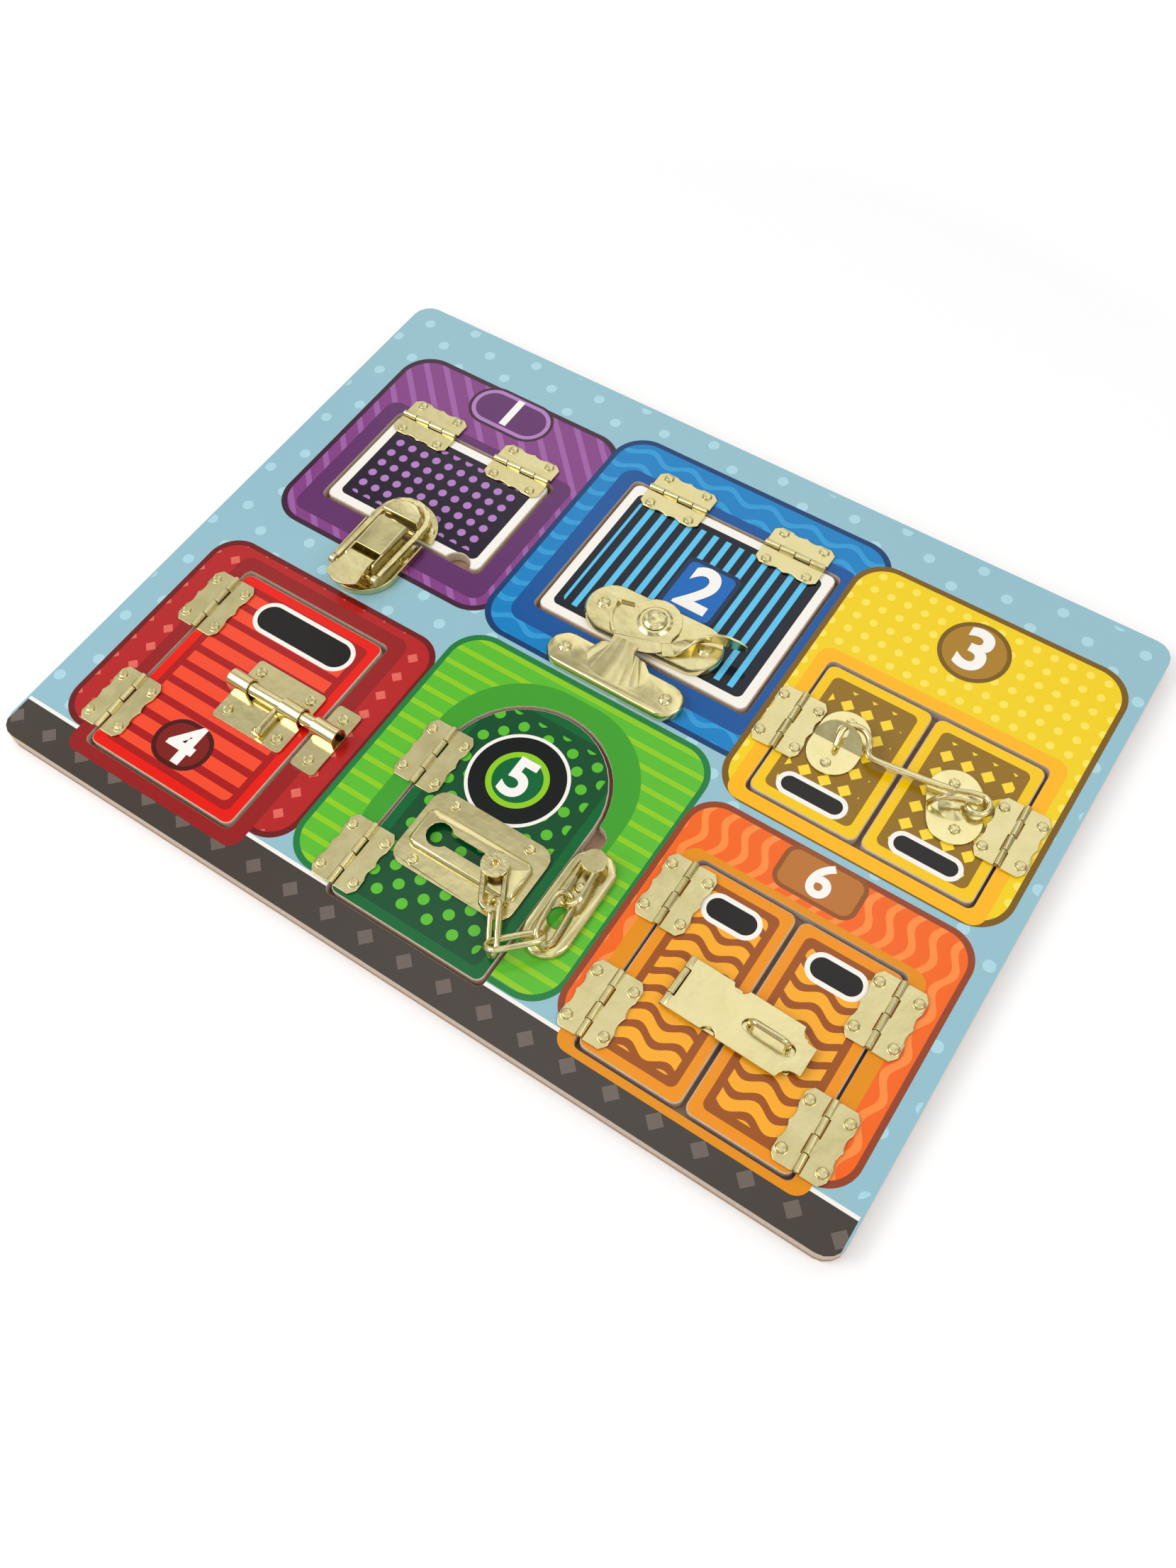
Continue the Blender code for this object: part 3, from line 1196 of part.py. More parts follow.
# Chain guard
def chain_slide_plate(frame, door):
    """The plate with a raised track and a keyhole slot, hollow underneath for the button's head."""
    outline = centred_box(0, 0, SLIDE_LENGTH, SLIDE_HEIGHT, SLIDE_CORNER)
    plate = prism(outline, SEAT_GAP, PLATE_TOP)
    track = centred_box(0, SLOT_Y, SLIDE_EMBOSS_LENGTH, SLIDE_EMBOSS_HEIGHT, SLIDE_EMBOSS_CORNER)
    raised = pressed(track, SEAT_GAP + SHEET / 2, SLIDE_EMBOSS_TOP, SLIDE_EASE)
    rivets = [
        rivet(x * SLIDE_RIVET_X, y * SLIDE_RIVET_Y, PLATE_TOP) for x in (-1, 1) for y in (-1, 1)
    ]
    body = joined(plate, raised, *rivets)
    inner = centred_box(
        0, SLOT_Y, SLIDE_EMBOSS_LENGTH - 2 * SHEET, SLIDE_EMBOSS_HEIGHT - 2 * SHEET,
        SLIDE_EMBOSS_CORNER - SHEET,
    )
    hollow = pressed(inner, SEAT_GAP - CUT_OVERRUN, SLIDE_EMBOSS_TOP - SHEET, SLIDE_EASE)
    half = SLOT_WIDTH / 2
    slot = rounded_box(KEYHOLE_X, BUTTON_X + half, SLOT_Y - half, SLOT_Y + half, half)
    way = prism(slot, 0, SLIDE_EMBOSS_TOP + CUT_OVERRUN)
    hole = moved(disc(KEYHOLE_RADIUS, 0, SLIDE_EMBOSS_TOP + CUT_OVERRUN, 2 * RIVET_SIDES), KEYHOLE_X, SLOT_Y)
    body = cut(body, hollow, way, hole)
    return kept(body, "chain_slide_plate", "brassed_latch", frame, door)


def link_route():
    """The centre line of a link: two straight sides and two half round ends."""
    radius = LINK_WIDTH / 2 - LINK_WIRE
    reach = LINK_LENGTH / 2 - LINK_WIRE - radius
    right = arc(reach, 0, radius, -90, 90, LINK_END_STEPS)
    return [(x, y, 0) for x, y in right] + [(-x, -y, 0) for x, y in right]


def link_frame(name):
    """Where a link lies: its length along X in its own frame."""
    place = chain_link_shares[name]
    x = ANCHOR_X + place.along * LINK_LENGTH
    y = ANCHOR_Y + place.across * LINK_LENGTH
    z = BOARD_TOP + place.up * LINK_LENGTH
    lift = Matrix.Rotation(math.radians(-place.lift), 4, "Y")
    roll = Matrix.Rotation(math.radians(place.roll), 4, "X")
    return frame_at(x, y, place.turn, z) @ lift @ roll


def link_pivot(name):
    """The point that a link turns about, in its own frame."""
    along, across, up = chain_pivot_shares[name]
    x = ANCHOR_X + along * LINK_LENGTH
    y = ANCHOR_Y + across * LINK_LENGTH
    z = BOARD_TOP + up * LINK_LENGTH
    return link_frame(name).inverted() @ Vector((x, y, z))


def link_body():
    return wire(link_route(), LINK_WIRE, detail=1, closed=True)


def chain_anchor_plate(frame, board):
    """The cupped plate that holds the chain's first link under its tab."""
    half = ANCHOR_WIDTH / 2

    def outline(inset):
        return centred_box(0, 0, ANCHOR_WIDTH - 2 * inset, ANCHOR_LENGTH - 2 * inset, half - inset)

    rim = pressed(outline(0), SEAT_GAP, ANCHOR_RIM_TOP, ANCHOR_EASE)
    cup = prism(outline(ANCHOR_RIM_WIDTH), PLATE_TOP, ANCHOR_RIM_TOP + CUT_OVERRUN)
    hole = disc(ANCHOR_HOLE_RADIUS, -CUT_OVERRUN, ANCHOR_RIM_TOP, 2 * RIVET_SIDES)
    body = cut(rim, cup, moved(hole, y=ANCHOR_HOLE_Y))
    first = link_body()
    first.data.transform(frame.inverted() @ link_frame("chain_link_a"))
    post_top = TAB_TOP - SHEET
    tab = [
        (0, TAB_TOP), (TAB_RADIUS, TAB_TOP), (TAB_RADIUS, post_top), (BUTTON_NECK, post_top),
        (BUTTON_NECK, SEAT_GAP + SHEET / 2), (0, SEAT_GAP + SHEET / 2),
    ]
    tab_body = moved(turned_shape(tab, 2 * RIVET_SIDES), y=TAB_Y)
    body = joined(body, tab_body, rivet(0, ANCHOR_RIVET_Y, PLATE_TOP))
    body = joined(body, first)
    return kept(body, "chain_anchor_plate", "brassed_latch", frame, board)


def chain_link(name, carrier):
    return kept(link_body(), name, "brassed_wire", link_frame(name), carrier, link_pivot(name))


def chain_end_link(slide_frame, carrier):
    """The last link with its button: a flange on top, a neck in the slot and a head beneath."""
    top = BUTTON_SEAT + 2 * LINK_WIRE + 2 * SEAT_GAP + BUTTON_SHEET
    under = top - BUTTON_SHEET
    profile = [
        (0, top - BUTTON_SINK), (0.25 * BUTTON_FLANGE, top - BUTTON_SINK), (0.3 * BUTTON_FLANGE, top),
        (BUTTON_FLANGE, top), (BUTTON_FLANGE, under),
        (BUTTON_COLLAR, under), (BUTTON_COLLAR, BUTTON_SEAT + SEAT_GAP), (BUTTON_NECK, BUTTON_SEAT),
        (BUTTON_NECK, BUTTON_HEAD_TOP), (BUTTON_HEAD, BUTTON_HEAD_TOP),
        (BUTTON_HEAD, BUTTON_HEAD_LOW), (0, BUTTON_HEAD_LOW),
    ]
    name = "chain_end_link"
    frame = link_frame(name)
    button = moved(turned_shape(profile, 2 * RIVET_SIDES), BUTTON_X, SLOT_Y)
    button.data.transform(frame.inverted() @ slide_frame)
    return kept(joined(link_body(), button), name, "brassed_wire", frame, carrier, link_pivot(name))


# Hasp
def hasp_base(frame, door):
    """The plate under the strap, with the middle knuckle and the pin."""
    middle = HASP_WIDTH / 2 - HASP_KNUCKLE - KNUCKLE_GAP
    low = SEAT_GAP
    high = low + SHEET
    start = HASP_BARREL + KNUCKLE_CLEARANCE
    outline = rounded_box(
        start, start + HASP_BASE_LENGTH, -HASP_WIDTH / 2 + SHEET, HASP_WIDTH / 2 - SHEET, SHEET, 2
    )
    plate = prism(outline, low, high)
    web = prism(box(0, start + SHEET, NUDGE - middle, middle - NUDGE), low, high)
    knuckle = disc(HASP_BARREL, -middle, middle, PIN_SIDES, "Y")
    pin = disc(HASP_PIN_RADIUS, -HASP_WIDTH / 2, HASP_WIDTH / 2, BORE_SIDES, "Y")
    barrel_parts = [moved(part, z=HASP_PIN_HEIGHT) for part in (knuckle, pin)]
    rivets = []
    for x in (0.3, 0.8):
        for y in (-0.3, 0.3):
            place = start + x * HASP_BASE_LENGTH, y * HASP_WIDTH
            rivets.append(rivet(*place, high, RIVET_RADIUS, HASP_BASE_RIVET_HEIGHT))
    return kept(joined(plate, web, *barrel_parts, *rivets), "hasp_base", "brassed_latch", frame, door)


def hasp_strap(frame, base):
    """The slotted strap with a knuckle at each side of its root."""
    half = HASP_WIDTH / 2
    nose = HASP_NOSE_WIDTH / 2
    start = HASP_BARREL + KNUCKLE_CLEARANCE
    corner = arc(HASP_SHOULDER + half - nose, half, half - nose, 180, 270, CORNER_STEPS)
    top = [(start, half)] + corner + [(HASP_LENGTH, nose)]
    outline = top + [(x, -y) for x, y in reversed(top)]
    slot_half = HASP_SLOT_WIDTH / 2
    slot = rounded_box(HASP_SLOT_START, HASP_SLOT_END, -slot_half, slot_half, slot_half)
    high = HASP_STRAP_LOW + HASP_SHEET
    body = prism(outline, HASP_STRAP_LOW, high, holes=[slot])
    knuckles = []
    bites = []
    for side in (-1, 1):
        ends = sorted((side * half, side * (half - HASP_KNUCKLE)))
        knuckles.append(moved(disc(HASP_BARREL, *ends, PIN_SIDES, "Y"), z=HASP_PIN_HEIGHT))
        web = box(0, start + SHEET, ends[0] + NUDGE, ends[1] - NUDGE)
        knuckles.append(prism(web, HASP_STRAP_LOW, high))
        bite = disc(HASP_NECK_RADIUS, 0, 2 * high, 2 * RIVET_SIDES)
        x = HASP_NECK_X + max(side, 0) * HASP_NECK_STEP
        bites.append(moved(bite, x, side * (half + HASP_NECK_RADIUS - HASP_NECK_DEPTH)))
    bore = moved(disc(HASP_BORE, -HASP_WIDTH, HASP_WIDTH, BORE_SIDES, "Y"), z=HASP_PIN_HEIGHT)
    body = cut(joined(body, *knuckles), bore, *bites)
    pivot = (0, 0, HASP_PIN_HEIGHT)
    return kept(body, "hasp_strap", "brassed_latch", frame, base, pivot)


def hasp_staple(frame, door):
    """The loop that comes up through the strap's slot, on its own plate."""
    outline = centred_box(STAPLE_MIDDLE, 0, STAPLE_PLATE_LENGTH, STAPLE_PLATE_HEIGHT, SHEET, 2)
    plate = prism(outline, SEAT_GAP, PLATE_TOP)
    left = STAPLE_MIDDLE - STAPLE_SPAN / 2
    right = STAPLE_MIDDLE + STAPLE_SPAN / 2
    low = SEAT_GAP + SHEET / 2
    round_z = STAPLE_TOP - STAPLE_ROUND
    route = [(left, low)]
    route += arc(left + STAPLE_ROUND, round_z, STAPLE_ROUND, 180, 90, CORNER_STEPS)
    route += arc(right - STAPLE_ROUND, round_z, STAPLE_ROUND, 90, 0, CORNER_STEPS) + [(right, low)]
    loop = wire([(x, 0, z) for x, z in route], STAPLE_WIRE)
    return kept(joined(plate, loop), "hasp_staple", "brassed_latch", frame, door)


def all_flaps():
    """The eight flaps by name."""
    table = (
        ("window_1", "window_1", "top", "purple_print", False),
        ("window_2", "window_2", "top", "blue_print", False),
        ("door_3_left", "door_3", "left", "yellow_print", True),
        ("door_3_right", "door_3", "right", "yellow_print", True),
        ("door_4", "door_4", "left", "red_print", False),
        ("door_5", "door_5", "left", "green_print", False),
        ("door_6_left", "door_6", "left", "orange_print", True),
        ("door_6_right", "door_6", "right", "orange_print", True),
    )
    made = {}
    for name, opening, side, finish, paired in table:
        made[name] = flap(name, opening, side, finish, flap_edges(opening, side, paired))
    return made


def all_hinges(flaps, board):
    table = (
        ("1", "window_1", "top", WINDOW_1_HINGES, "window_1"),
        ("2", "window_2", "top", WINDOW_2_HINGES, "window_2"),
        ("3_left", "door_3", "left", None, "door_3_left"),
        ("3_right", "door_3", "right", None, "door_3_right"),
        ("4", "door_4", "left", DOOR_4_HINGES, "door_4"),
        ("5", "door_5", "left", DOOR_5_HINGES, "door_5"),
        ("6_left_", "door_6", "left", DOOR_6_HINGES, "door_6_left"),
        ("6_right_", "door_6", "right", DOOR_6_HINGES, "door_6_right"),
    )
    meshes = hinge_meshes()
    for label, opening, side, spacing, flap_name in table:
        hinges(label, opening, side, spacing, flaps[flap_name], board, meshes)


def draw_latch(flaps, board):
    frame = frame_at(WINDOW_1_X, OPENINGS["window_1"].bottom - DRAW_PIVOT_DROP)
    base = draw_latch_base(frame, board)
    lever = draw_latch_lever(frame, base)
    draw_latch_bail(frame, lever)
    draw_latch_keeper(frame, flaps["window_1"])


def sash_lock(flaps, board):
    frame = frame_at(WINDOW_2_X + SASH_PIVOT_SHIFT, OPENINGS["window_2"].bottom + SASH_PIVOT_RISE)
    base = sash_lock_base(frame, flaps["window_2"])
    sash_lock_cam(frame, base)
    sash_lock_keeper(frame, board)


def hook(flaps):
    eye_frame = frame_at(DOOR_3_X + EYE_PLATE_FROM_MIDDLE, DOOR_3_Y, EYE_PLATE_TURN)
    eye_plate = hook_eye_plate(eye_frame, flaps["door_3_right"])
    share = HOOK_HEIGHT / EYE_HEIGHT
    leg = EYE_HALF_SPAN * math.sqrt(1 - share * share)
    turn = math.radians(EYE_PLATE_TURN)
    x = DOOR_3_X + EYE_PLATE_FROM_MIDDLE + leg * math.cos(turn)
    y = DOOR_3_Y + leg * math.sin(turn)
    hook_body(frame_at(x, y), eye_plate)
    catch_frame = frame_at(DOOR_3_X - CATCH_PLATE_FROM_MIDDLE, DOOR_3_Y + CATCH_Y)
    hook_catch_plate(catch_frame, flaps["door_3_left"])


def barrel_bolt(flaps, board):
    free_edge = OPENINGS["door_4"].right - FREE_GAP
    y = DOOR_4_Y + BOLT_Y + BOLT_Y
    frame = frame_at(free_edge - BOLT_FROM_FREE_EDGE, y)
    plate = bolt_plate(frame, flaps["door_4"])
    bolt_rod(frame, plate)
    keeper_x = OPENINGS["door_4"].right + BOLT_KEEPER_FROM_EDGE
    bolt_keeper(frame_at(keeper_x, y), board)


def chain_guard(flaps, board):
    slide_frame = frame_at(SLIDE_X, SLIDE_Y)
    chain_slide_plate(slide_frame, flaps["door_5"])
    carrier = chain_anchor_plate(frame_at(ANCHOR_X, ANCHOR_Y), board)
    for name in ("chain_link_b", "chain_link_c", "chain_link_d"):
        carrier = chain_link(name, carrier)
    chain_end_link(slide_frame, carrier)


def hasp(flaps):
    frame = frame_at(DOOR_6_X - HASP_PIN_FROM_MIDDLE, DOOR_6_Y + HASP_Y, HASP_TURN)
    base = hasp_base(frame, flaps["door_6_left"])
    hasp_strap(frame, base)
    hasp_staple(frame, flaps["door_6_right"])


clear_scene()
PARTS = new_collection("wooden_latch_board", helper=False)
CUTTERS = new_collection("cutters", helper=True)


def main():
    back_board()
    board = front_board()
    flaps = all_flaps()
    all_hinges(flaps, board)
    draw_latch(flaps, board)
    sash_lock(flaps, board)
    hook(flaps)
    barrel_bolt(flaps, board)
    chain_guard(flaps, board)
    hasp(flaps)


main()
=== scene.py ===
# %% [markdown]
# ## A wooden latch board, dressed for its picture
# The board is a toy: a printed panel with small windows and doors, each held shut by a different brass latch.
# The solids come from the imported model. This lesson gives them their finishes, prints the picture side,
# and sets up a plain studio. Lengths are metres, and millimetres are written as a number times MM.

# %% Start: tools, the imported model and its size
import json
import math

import bmesh
import bpy
from mathutils import Matrix, Vector

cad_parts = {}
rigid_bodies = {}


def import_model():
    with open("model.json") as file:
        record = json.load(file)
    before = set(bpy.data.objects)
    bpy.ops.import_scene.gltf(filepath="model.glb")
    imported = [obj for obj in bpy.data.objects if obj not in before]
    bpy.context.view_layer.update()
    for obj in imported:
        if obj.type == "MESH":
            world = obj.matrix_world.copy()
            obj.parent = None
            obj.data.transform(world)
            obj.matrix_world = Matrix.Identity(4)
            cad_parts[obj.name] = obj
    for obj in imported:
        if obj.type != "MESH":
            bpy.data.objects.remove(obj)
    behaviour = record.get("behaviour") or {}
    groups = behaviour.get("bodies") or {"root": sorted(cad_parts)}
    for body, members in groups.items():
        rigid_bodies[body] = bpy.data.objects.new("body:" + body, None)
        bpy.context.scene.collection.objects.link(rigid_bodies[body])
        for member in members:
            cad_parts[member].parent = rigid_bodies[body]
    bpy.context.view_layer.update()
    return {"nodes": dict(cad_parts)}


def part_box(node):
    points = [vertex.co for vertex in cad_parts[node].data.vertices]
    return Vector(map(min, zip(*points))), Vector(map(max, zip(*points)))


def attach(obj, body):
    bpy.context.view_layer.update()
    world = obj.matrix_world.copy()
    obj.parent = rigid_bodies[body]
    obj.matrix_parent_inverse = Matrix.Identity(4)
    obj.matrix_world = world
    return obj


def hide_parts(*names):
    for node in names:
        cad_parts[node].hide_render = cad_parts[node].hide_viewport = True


MM = 0.001
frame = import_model()
NODES = frame["nodes"]
BOARD_TOP = 9 * MM

# %% [markdown]
# ## Colours and nodes
# Printers and paint makers give colours as hex values, which are in the screen's curve, while the renderer
# works in linear light. One function turns the one into the other, so that every colour below can be read
# as it looks. One more function adds a shader node with its settings and its links.

# %% Helpers for colours and shader nodes


def ink(code):
    """A hex colour as linear red, green, blue and alpha."""
    parts = [int(code[i : i + 2], 16) / 255 for i in (0, 2, 4)]
    return [c / 12.92 if c <= 0.04045 else ((c + 0.055) / 1.055) ** 2.4 for c in parts] + [1.0]


def add(tree, kind, inputs, **settings):
    """Adds a node. Inputs are pairs of a socket's name or number and a value or another node's output."""
    node = tree.nodes.new(kind)
    for name, value in settings.items():
        setattr(node, name, value)
    for socket, value in inputs:
        if isinstance(value, bpy.types.NodeSocket):
            tree.links.new(value, node.inputs[socket])
        else:
            node.inputs[socket].default_value = value
    return node


def blank_material(name):
    """A new material with its shader and its output, and no other nodes."""
    made = bpy.data.materials.new(name)
    made.use_nodes = True
    return made, made.node_tree, made.node_tree.nodes["Principled BSDF"]


print("a mid grey, 808080, is", round(ink("808080")[0], 3), "in linear light")

# %% [markdown]
# ## The printed face
# The real face is a sheet of paper, printed in flat inks and sealed under a gloss film, then glued on
# fibreboard and cut with a router. A picture could be painted as an image. Here it is built from shapes in
# the shader instead, so that it stays sharp from close by. Each shape is a mask: a rounded box or a disc,
# with or without a pattern of stripes, dots, diamonds or waves in it. The shapes lie on each other like
# inks, the last one on top. Only faces that look up carry ink, and the cut sides show the board itself.

# %% Masks for shapes and patterns
ANY_HEIGHT = 1000
SQUARE = 0.01
WAVE_BENDS = 3.0
WAVE_DEPTH = 0.22


def in_millimetres(tree):
    """A point's place in millimetres, in the frame of the solids."""
    where = add(tree, "ShaderNodeTexCoord", [])
    scaled = [(0, where.outputs["Object"]), ("Scale", 1 / MM)]
    return add(tree, "ShaderNodeVectorMath", scaled, operation="SCALE").outputs[0]


def shape_mask(tree, place, x, y, width, height, radius):
    """1 inside a rounded box round (x, y) in millimetres, and 0 outside it. A disc is all corner."""
    straight = (width / 2 - radius, height / 2 - radius, ANY_HEIGHT)
    away = add(tree, "ShaderNodeVectorMath", [(0, place), (1, (x, y, 0))], operation="SUBTRACT")
    folded = add(tree, "ShaderNodeVectorMath", [(0, away.outputs[0])], operation="ABSOLUTE")
    past = add(tree, "ShaderNodeVectorMath", [(0, folded.outputs[0]), (1, straight)], operation="SUBTRACT")
    outside = add(tree, "ShaderNodeVectorMath", [(0, past.outputs[0]), (1, (0, 0, 0))], operation="MAXIMUM")
    distance = add(tree, "ShaderNodeVectorMath", [(0, outside.outputs[0])], operation="LENGTH")
    reach = [(0, distance.outputs["Value"]), (1, radius)]
    return add(tree, "ShaderNodeMath", reach, operation="LESS_THAN").outputs[0]


def pattern_mask(tree, place, pattern, period, share, turn):
    """1 on the pattern's marks. Period is their spacing in millimetres, and share their width in it."""
    turned = add(
        tree, "ShaderNodeMapping", [("Vector", place), ("Rotation", (0, 0, math.radians(turn)))],
        vector_type="POINT",
    )
    spacing = (period, period, ANY_HEIGHT)
    cell = add(tree, "ShaderNodeVectorMath", [(0, turned.outputs[0]), (1, spacing)], operation="DIVIDE")
    if pattern == "waves":
        split = add(tree, "ShaderNodeSeparateXYZ", [(0, cell.outputs[0])])
        swell = add(tree, "ShaderNodeMath", [(0, split.outputs[0]), (1, WAVE_BENDS)], operation="MULTIPLY")
        wave = add(tree, "ShaderNodeMath", [(0, swell.outputs[0])], operation="SINE")
        shifted = add(
            tree, "ShaderNodeMath", [(0, wave.outputs[0]), (1, WAVE_DEPTH), (2, split.outputs[1])],
            operation="MULTIPLY_ADD",
        )
        spot = add(tree, "ShaderNodeMath", [(0, shifted.outputs[0])], operation="FRACT")
        marks = add(tree, "ShaderNodeMath", [(0, spot.outputs[0]), (1, share)], operation="LESS_THAN")
        return marks.outputs[0]
    spot = add(tree, "ShaderNodeVectorMath", [(0, cell.outputs[0])], operation="FRACTION")
    centred = add(
        tree, "ShaderNodeVectorMath", [(0, spot.outputs[0]), (1, (0.5, 0.5, 0))], operation="SUBTRACT"
    )
    flat = add(tree, "ShaderNodeVectorMath", [(0, centred.outputs[0]), (1, (1, 1, 0))], operation="MULTIPLY")
    if pattern == "dots":
        size = add(tree, "ShaderNodeVectorMath", [(0, flat.outputs[0])], operation="LENGTH").outputs["Value"]
    else:
        across = (1, 1, 0) if pattern == "diamonds" else (0, 1, 0)
        folded = add(tree, "ShaderNodeVectorMath", [(0, flat.outputs[0])], operation="ABSOLUTE")
        size = add(
            tree, "ShaderNodeVectorMath", [(0, folded.outputs[0]), (1, across)], operation="DOT_PRODUCT"
        ).outputs["Value"]
    return add(tree, "ShaderNodeMath", [(0, size), (1, share / 2)], operation="LESS_THAN").outputs[0]


print("patterns: stripes, dots, diamonds, waves")

# %% [markdown]
# ## One recipe for every print
# All the printed pieces are the same sheet, so one function makes each of their materials: ink where the
# face looks up, raw edge elsewhere. Gloss film over paper has the IOR of plastic, about 1.5, and is smooth
# but not flat, since the fibres of the board show through as a faint unevenness a few millimetres wide.
# The cut edge of medium density fibreboard is pale, dry and speckled at the size of its fibres.

# %% The printed sheet on fibreboard
EDGE_PALE = "dfd3c4"
EDGE_DARK = "b99f86"
EDGE_ROUGHNESS = 0.75
FIBRE_GRAIN = 1.4
FILM_ROUGHNESS = 0.16
FILM_SHINE = 0.35
FILM_UNEVENNESS = 5.0
FILM_DEPTH = 0.3 * MM
FACES_UP = 0.9


def printed_sheet(name, ground, layers):
    """A gloss printed sheet on fibreboard. Layers are shapes on the ground colour, the last one on top."""
    made, tree, shader = blank_material(name)
    place = in_millimetres(tree)
    colour = add(tree, "ShaderNodeRGB", [])
    colour.outputs[0].default_value = ink(ground)
    colour = colour.outputs[0]
    for code, box, *pattern in layers:
        mask = shape_mask(tree, place, *box)
        if pattern:
            marks = pattern_mask(tree, place, *pattern)
            mask = add(tree, "ShaderNodeMath", [(0, mask), (1, marks)], operation="MULTIPLY").outputs[0]
        mixed = add(
            tree, "ShaderNodeMix", [("Factor", mask), (6, colour), (7, ink(code))], data_type="RGBA"
        )
        colour = mixed.outputs[2]
    grain = add(
        tree, "ShaderNodeTexNoise", [("Vector", place), ("Scale", 1 / FIBRE_GRAIN), ("Detail", 4.0)]
    ).outputs[0]
    edge = add(
        tree, "ShaderNodeMix", [("Factor", grain), (6, ink(EDGE_DARK)), (7, ink(EDGE_PALE))], data_type="RGBA"
    ).outputs[2]
    facing = add(tree, "ShaderNodeTexCoord", []).outputs["Normal"]
    rise = add(tree, "ShaderNodeSeparateXYZ", [(0, facing)]).outputs[2]
    up = add(tree, "ShaderNodeMath", [(0, rise), (1, FACES_UP)], operation="GREATER_THAN").outputs[0]
    skin = add(tree, "ShaderNodeMix", [("Factor", up), (6, edge), (7, colour)], data_type="RGBA").outputs[2]
    tree.links.new(skin, shader.inputs["Base Color"])
    finish = [("Value", up), ("To Min", EDGE_ROUGHNESS), ("To Max", FILM_ROUGHNESS)]
    tree.links.new(add(tree, "ShaderNodeMapRange", finish).outputs[0], shader.inputs["Roughness"])
    shader.inputs["IOR"].default_value = 1.5
    shader.inputs["Specular IOR Level"].default_value = FILM_SHINE
    uneven = add(
        tree, "ShaderNodeTexNoise", [("Vector", place), ("Scale", 1 / FILM_UNEVENNESS), ("Detail", 2.0)]
    ).outputs[0]
    bump = add(
        tree, "ShaderNodeBump", [("Height", uneven), ("Strength", 0.12), ("Distance", FILM_DEPTH)]
    ).outputs[0]
    tree.links.new(bump, shader.inputs["Normal"])
    print(f"{name}: {len(layers)} inks, {len(tree.nodes)} nodes")
    return made


# %% [markdown]
# ## The design on the big panel
# The panel needs bright fields round each opening and a calm ground between them, as such toys have. The
# design here is a plain one of its own: a sky blue ground with soft dots, a rounded colour field for each
# opening, each with its own simple pattern, and a dark band of tiles along the lower edge. The layout is
# worked out in millimetres from the middle of the board, in the same frame as the openings.

# %% Print the big panel
# A pattern counts from the board's middle, and this spacing puts a row of tiles along the band's middle
BAND_Y = -138.5
TILE_SPACING = -BAND_Y / 7.5
panel_layers = [
    ("a9d3de", (0, 10, 392, 270, 8), "dots", 17.0, 0.30, 30),
    ("443c36", (0, BAND_Y, 392, 17, SQUARE)),
    ("6b6058", (0, BAND_Y, 392, 17, SQUARE), "diamonds", TILE_SPACING, 0.42, 0),
    ("f2efe8", (0, -129.2, 392, 1.6, SQUARE)),
    # Purple field round window 1
    ("3c1932", (-118, 62, 122, 116, 16)),
    ("823c82", (-118, 62, 117, 111, 14)),
    ("9a5ca0", (-118, 62, 117, 111, 14), "stripes", 9.0, 0.30, 45),
    ("5f2a64", (-118, 49, 105, 76, 6)),
    ("3c1932", (-117, 108.5, 44, 24, 12)),
    ("af7db9", (-117, 108.5, 41, 21, 10.5)),
    ("5f2a64", (-117, 108.5, 37, 17, 8.5)),
    # Blue field round window 2
    ("00386b", (8, 66, 142, 128, 16)),
    ("007dbe", (8, 66, 137, 123, 14)),
    ("2b97d0", (8, 66, 137, 123, 14), "waves", 10.0, 0.28, 0),
    ("005096", (8, 62, 121, 98, 7)),
    # Yellow field round doors 3
    ("785500", (128, 55, 126, 136, 16)),
    ("f0cd00", (128, 55, 121, 131, 14)),
    ("fadf55", (128, 55, 121, 131, 14), "dots", 8.0, 0.46, 0),
    ("fab400", (127.6, 29.8, 112, 84, 6)),
    ("785500", (126.5, 101.1, 31, 31, 15.5)),
    ("a97b1a", (126.5, 101.1, 27, 27, 13.5)),
    # Red field round door 4
    ("6e1414", (-122, -72, 122, 112, 14)),
    ("b42020", (-122, -72, 117, 107, 12)),
    ("e0665a", (-122, -72, 117, 107, 12), "diamonds", 11.0, 0.50, 0),
    ("961919", (-122, -80, 92, 116, 6)),
    # Green field round door 5
    ("1c7a3c", (2, -64, 128, 128, 16)),
    ("5ab92d", (2, -64, 123, 123, 14)),
    ("8cc81e", (2, -64, 123, 123, 14), "stripes", 8.0, 0.30, 0),
    ("3f9d2a", (2.2, -68, 92, 122, 40)),
    # Orange field round doors 6
    ("913f1e", (127, -72, 124, 112, 14)),
    ("f06414", (127, -72, 119, 107, 12)),
    ("f78a3c", (127, -72, 119, 107, 12), "waves", 9.0, 0.35, 90),
    ("e18c00", (125.2, -86.8, 104, 96, 6)),
    ("8f4f1c", (124, -26.5, 36, 20, 6)),
    ("b8702c", (124, -26.5, 32, 16.5, 4)),
]
panel_print = printed_sheet("gloss_printed_panel", "91bcc8", panel_layers)

# %% [markdown]
# ## The flaps
# Each flap is cut from its own printed sheet, with a pale border left round a coloured field. The border
# hides a small error in the cut. The fields repeat the panel's kinds of pattern, each in its own colours.

# %% Print the flaps
RIM = 4.5
MARKS_RIM = 1.7 * RIM
FIELD_CORNER = 3.0
WHITE_RIM = "f4efe6"


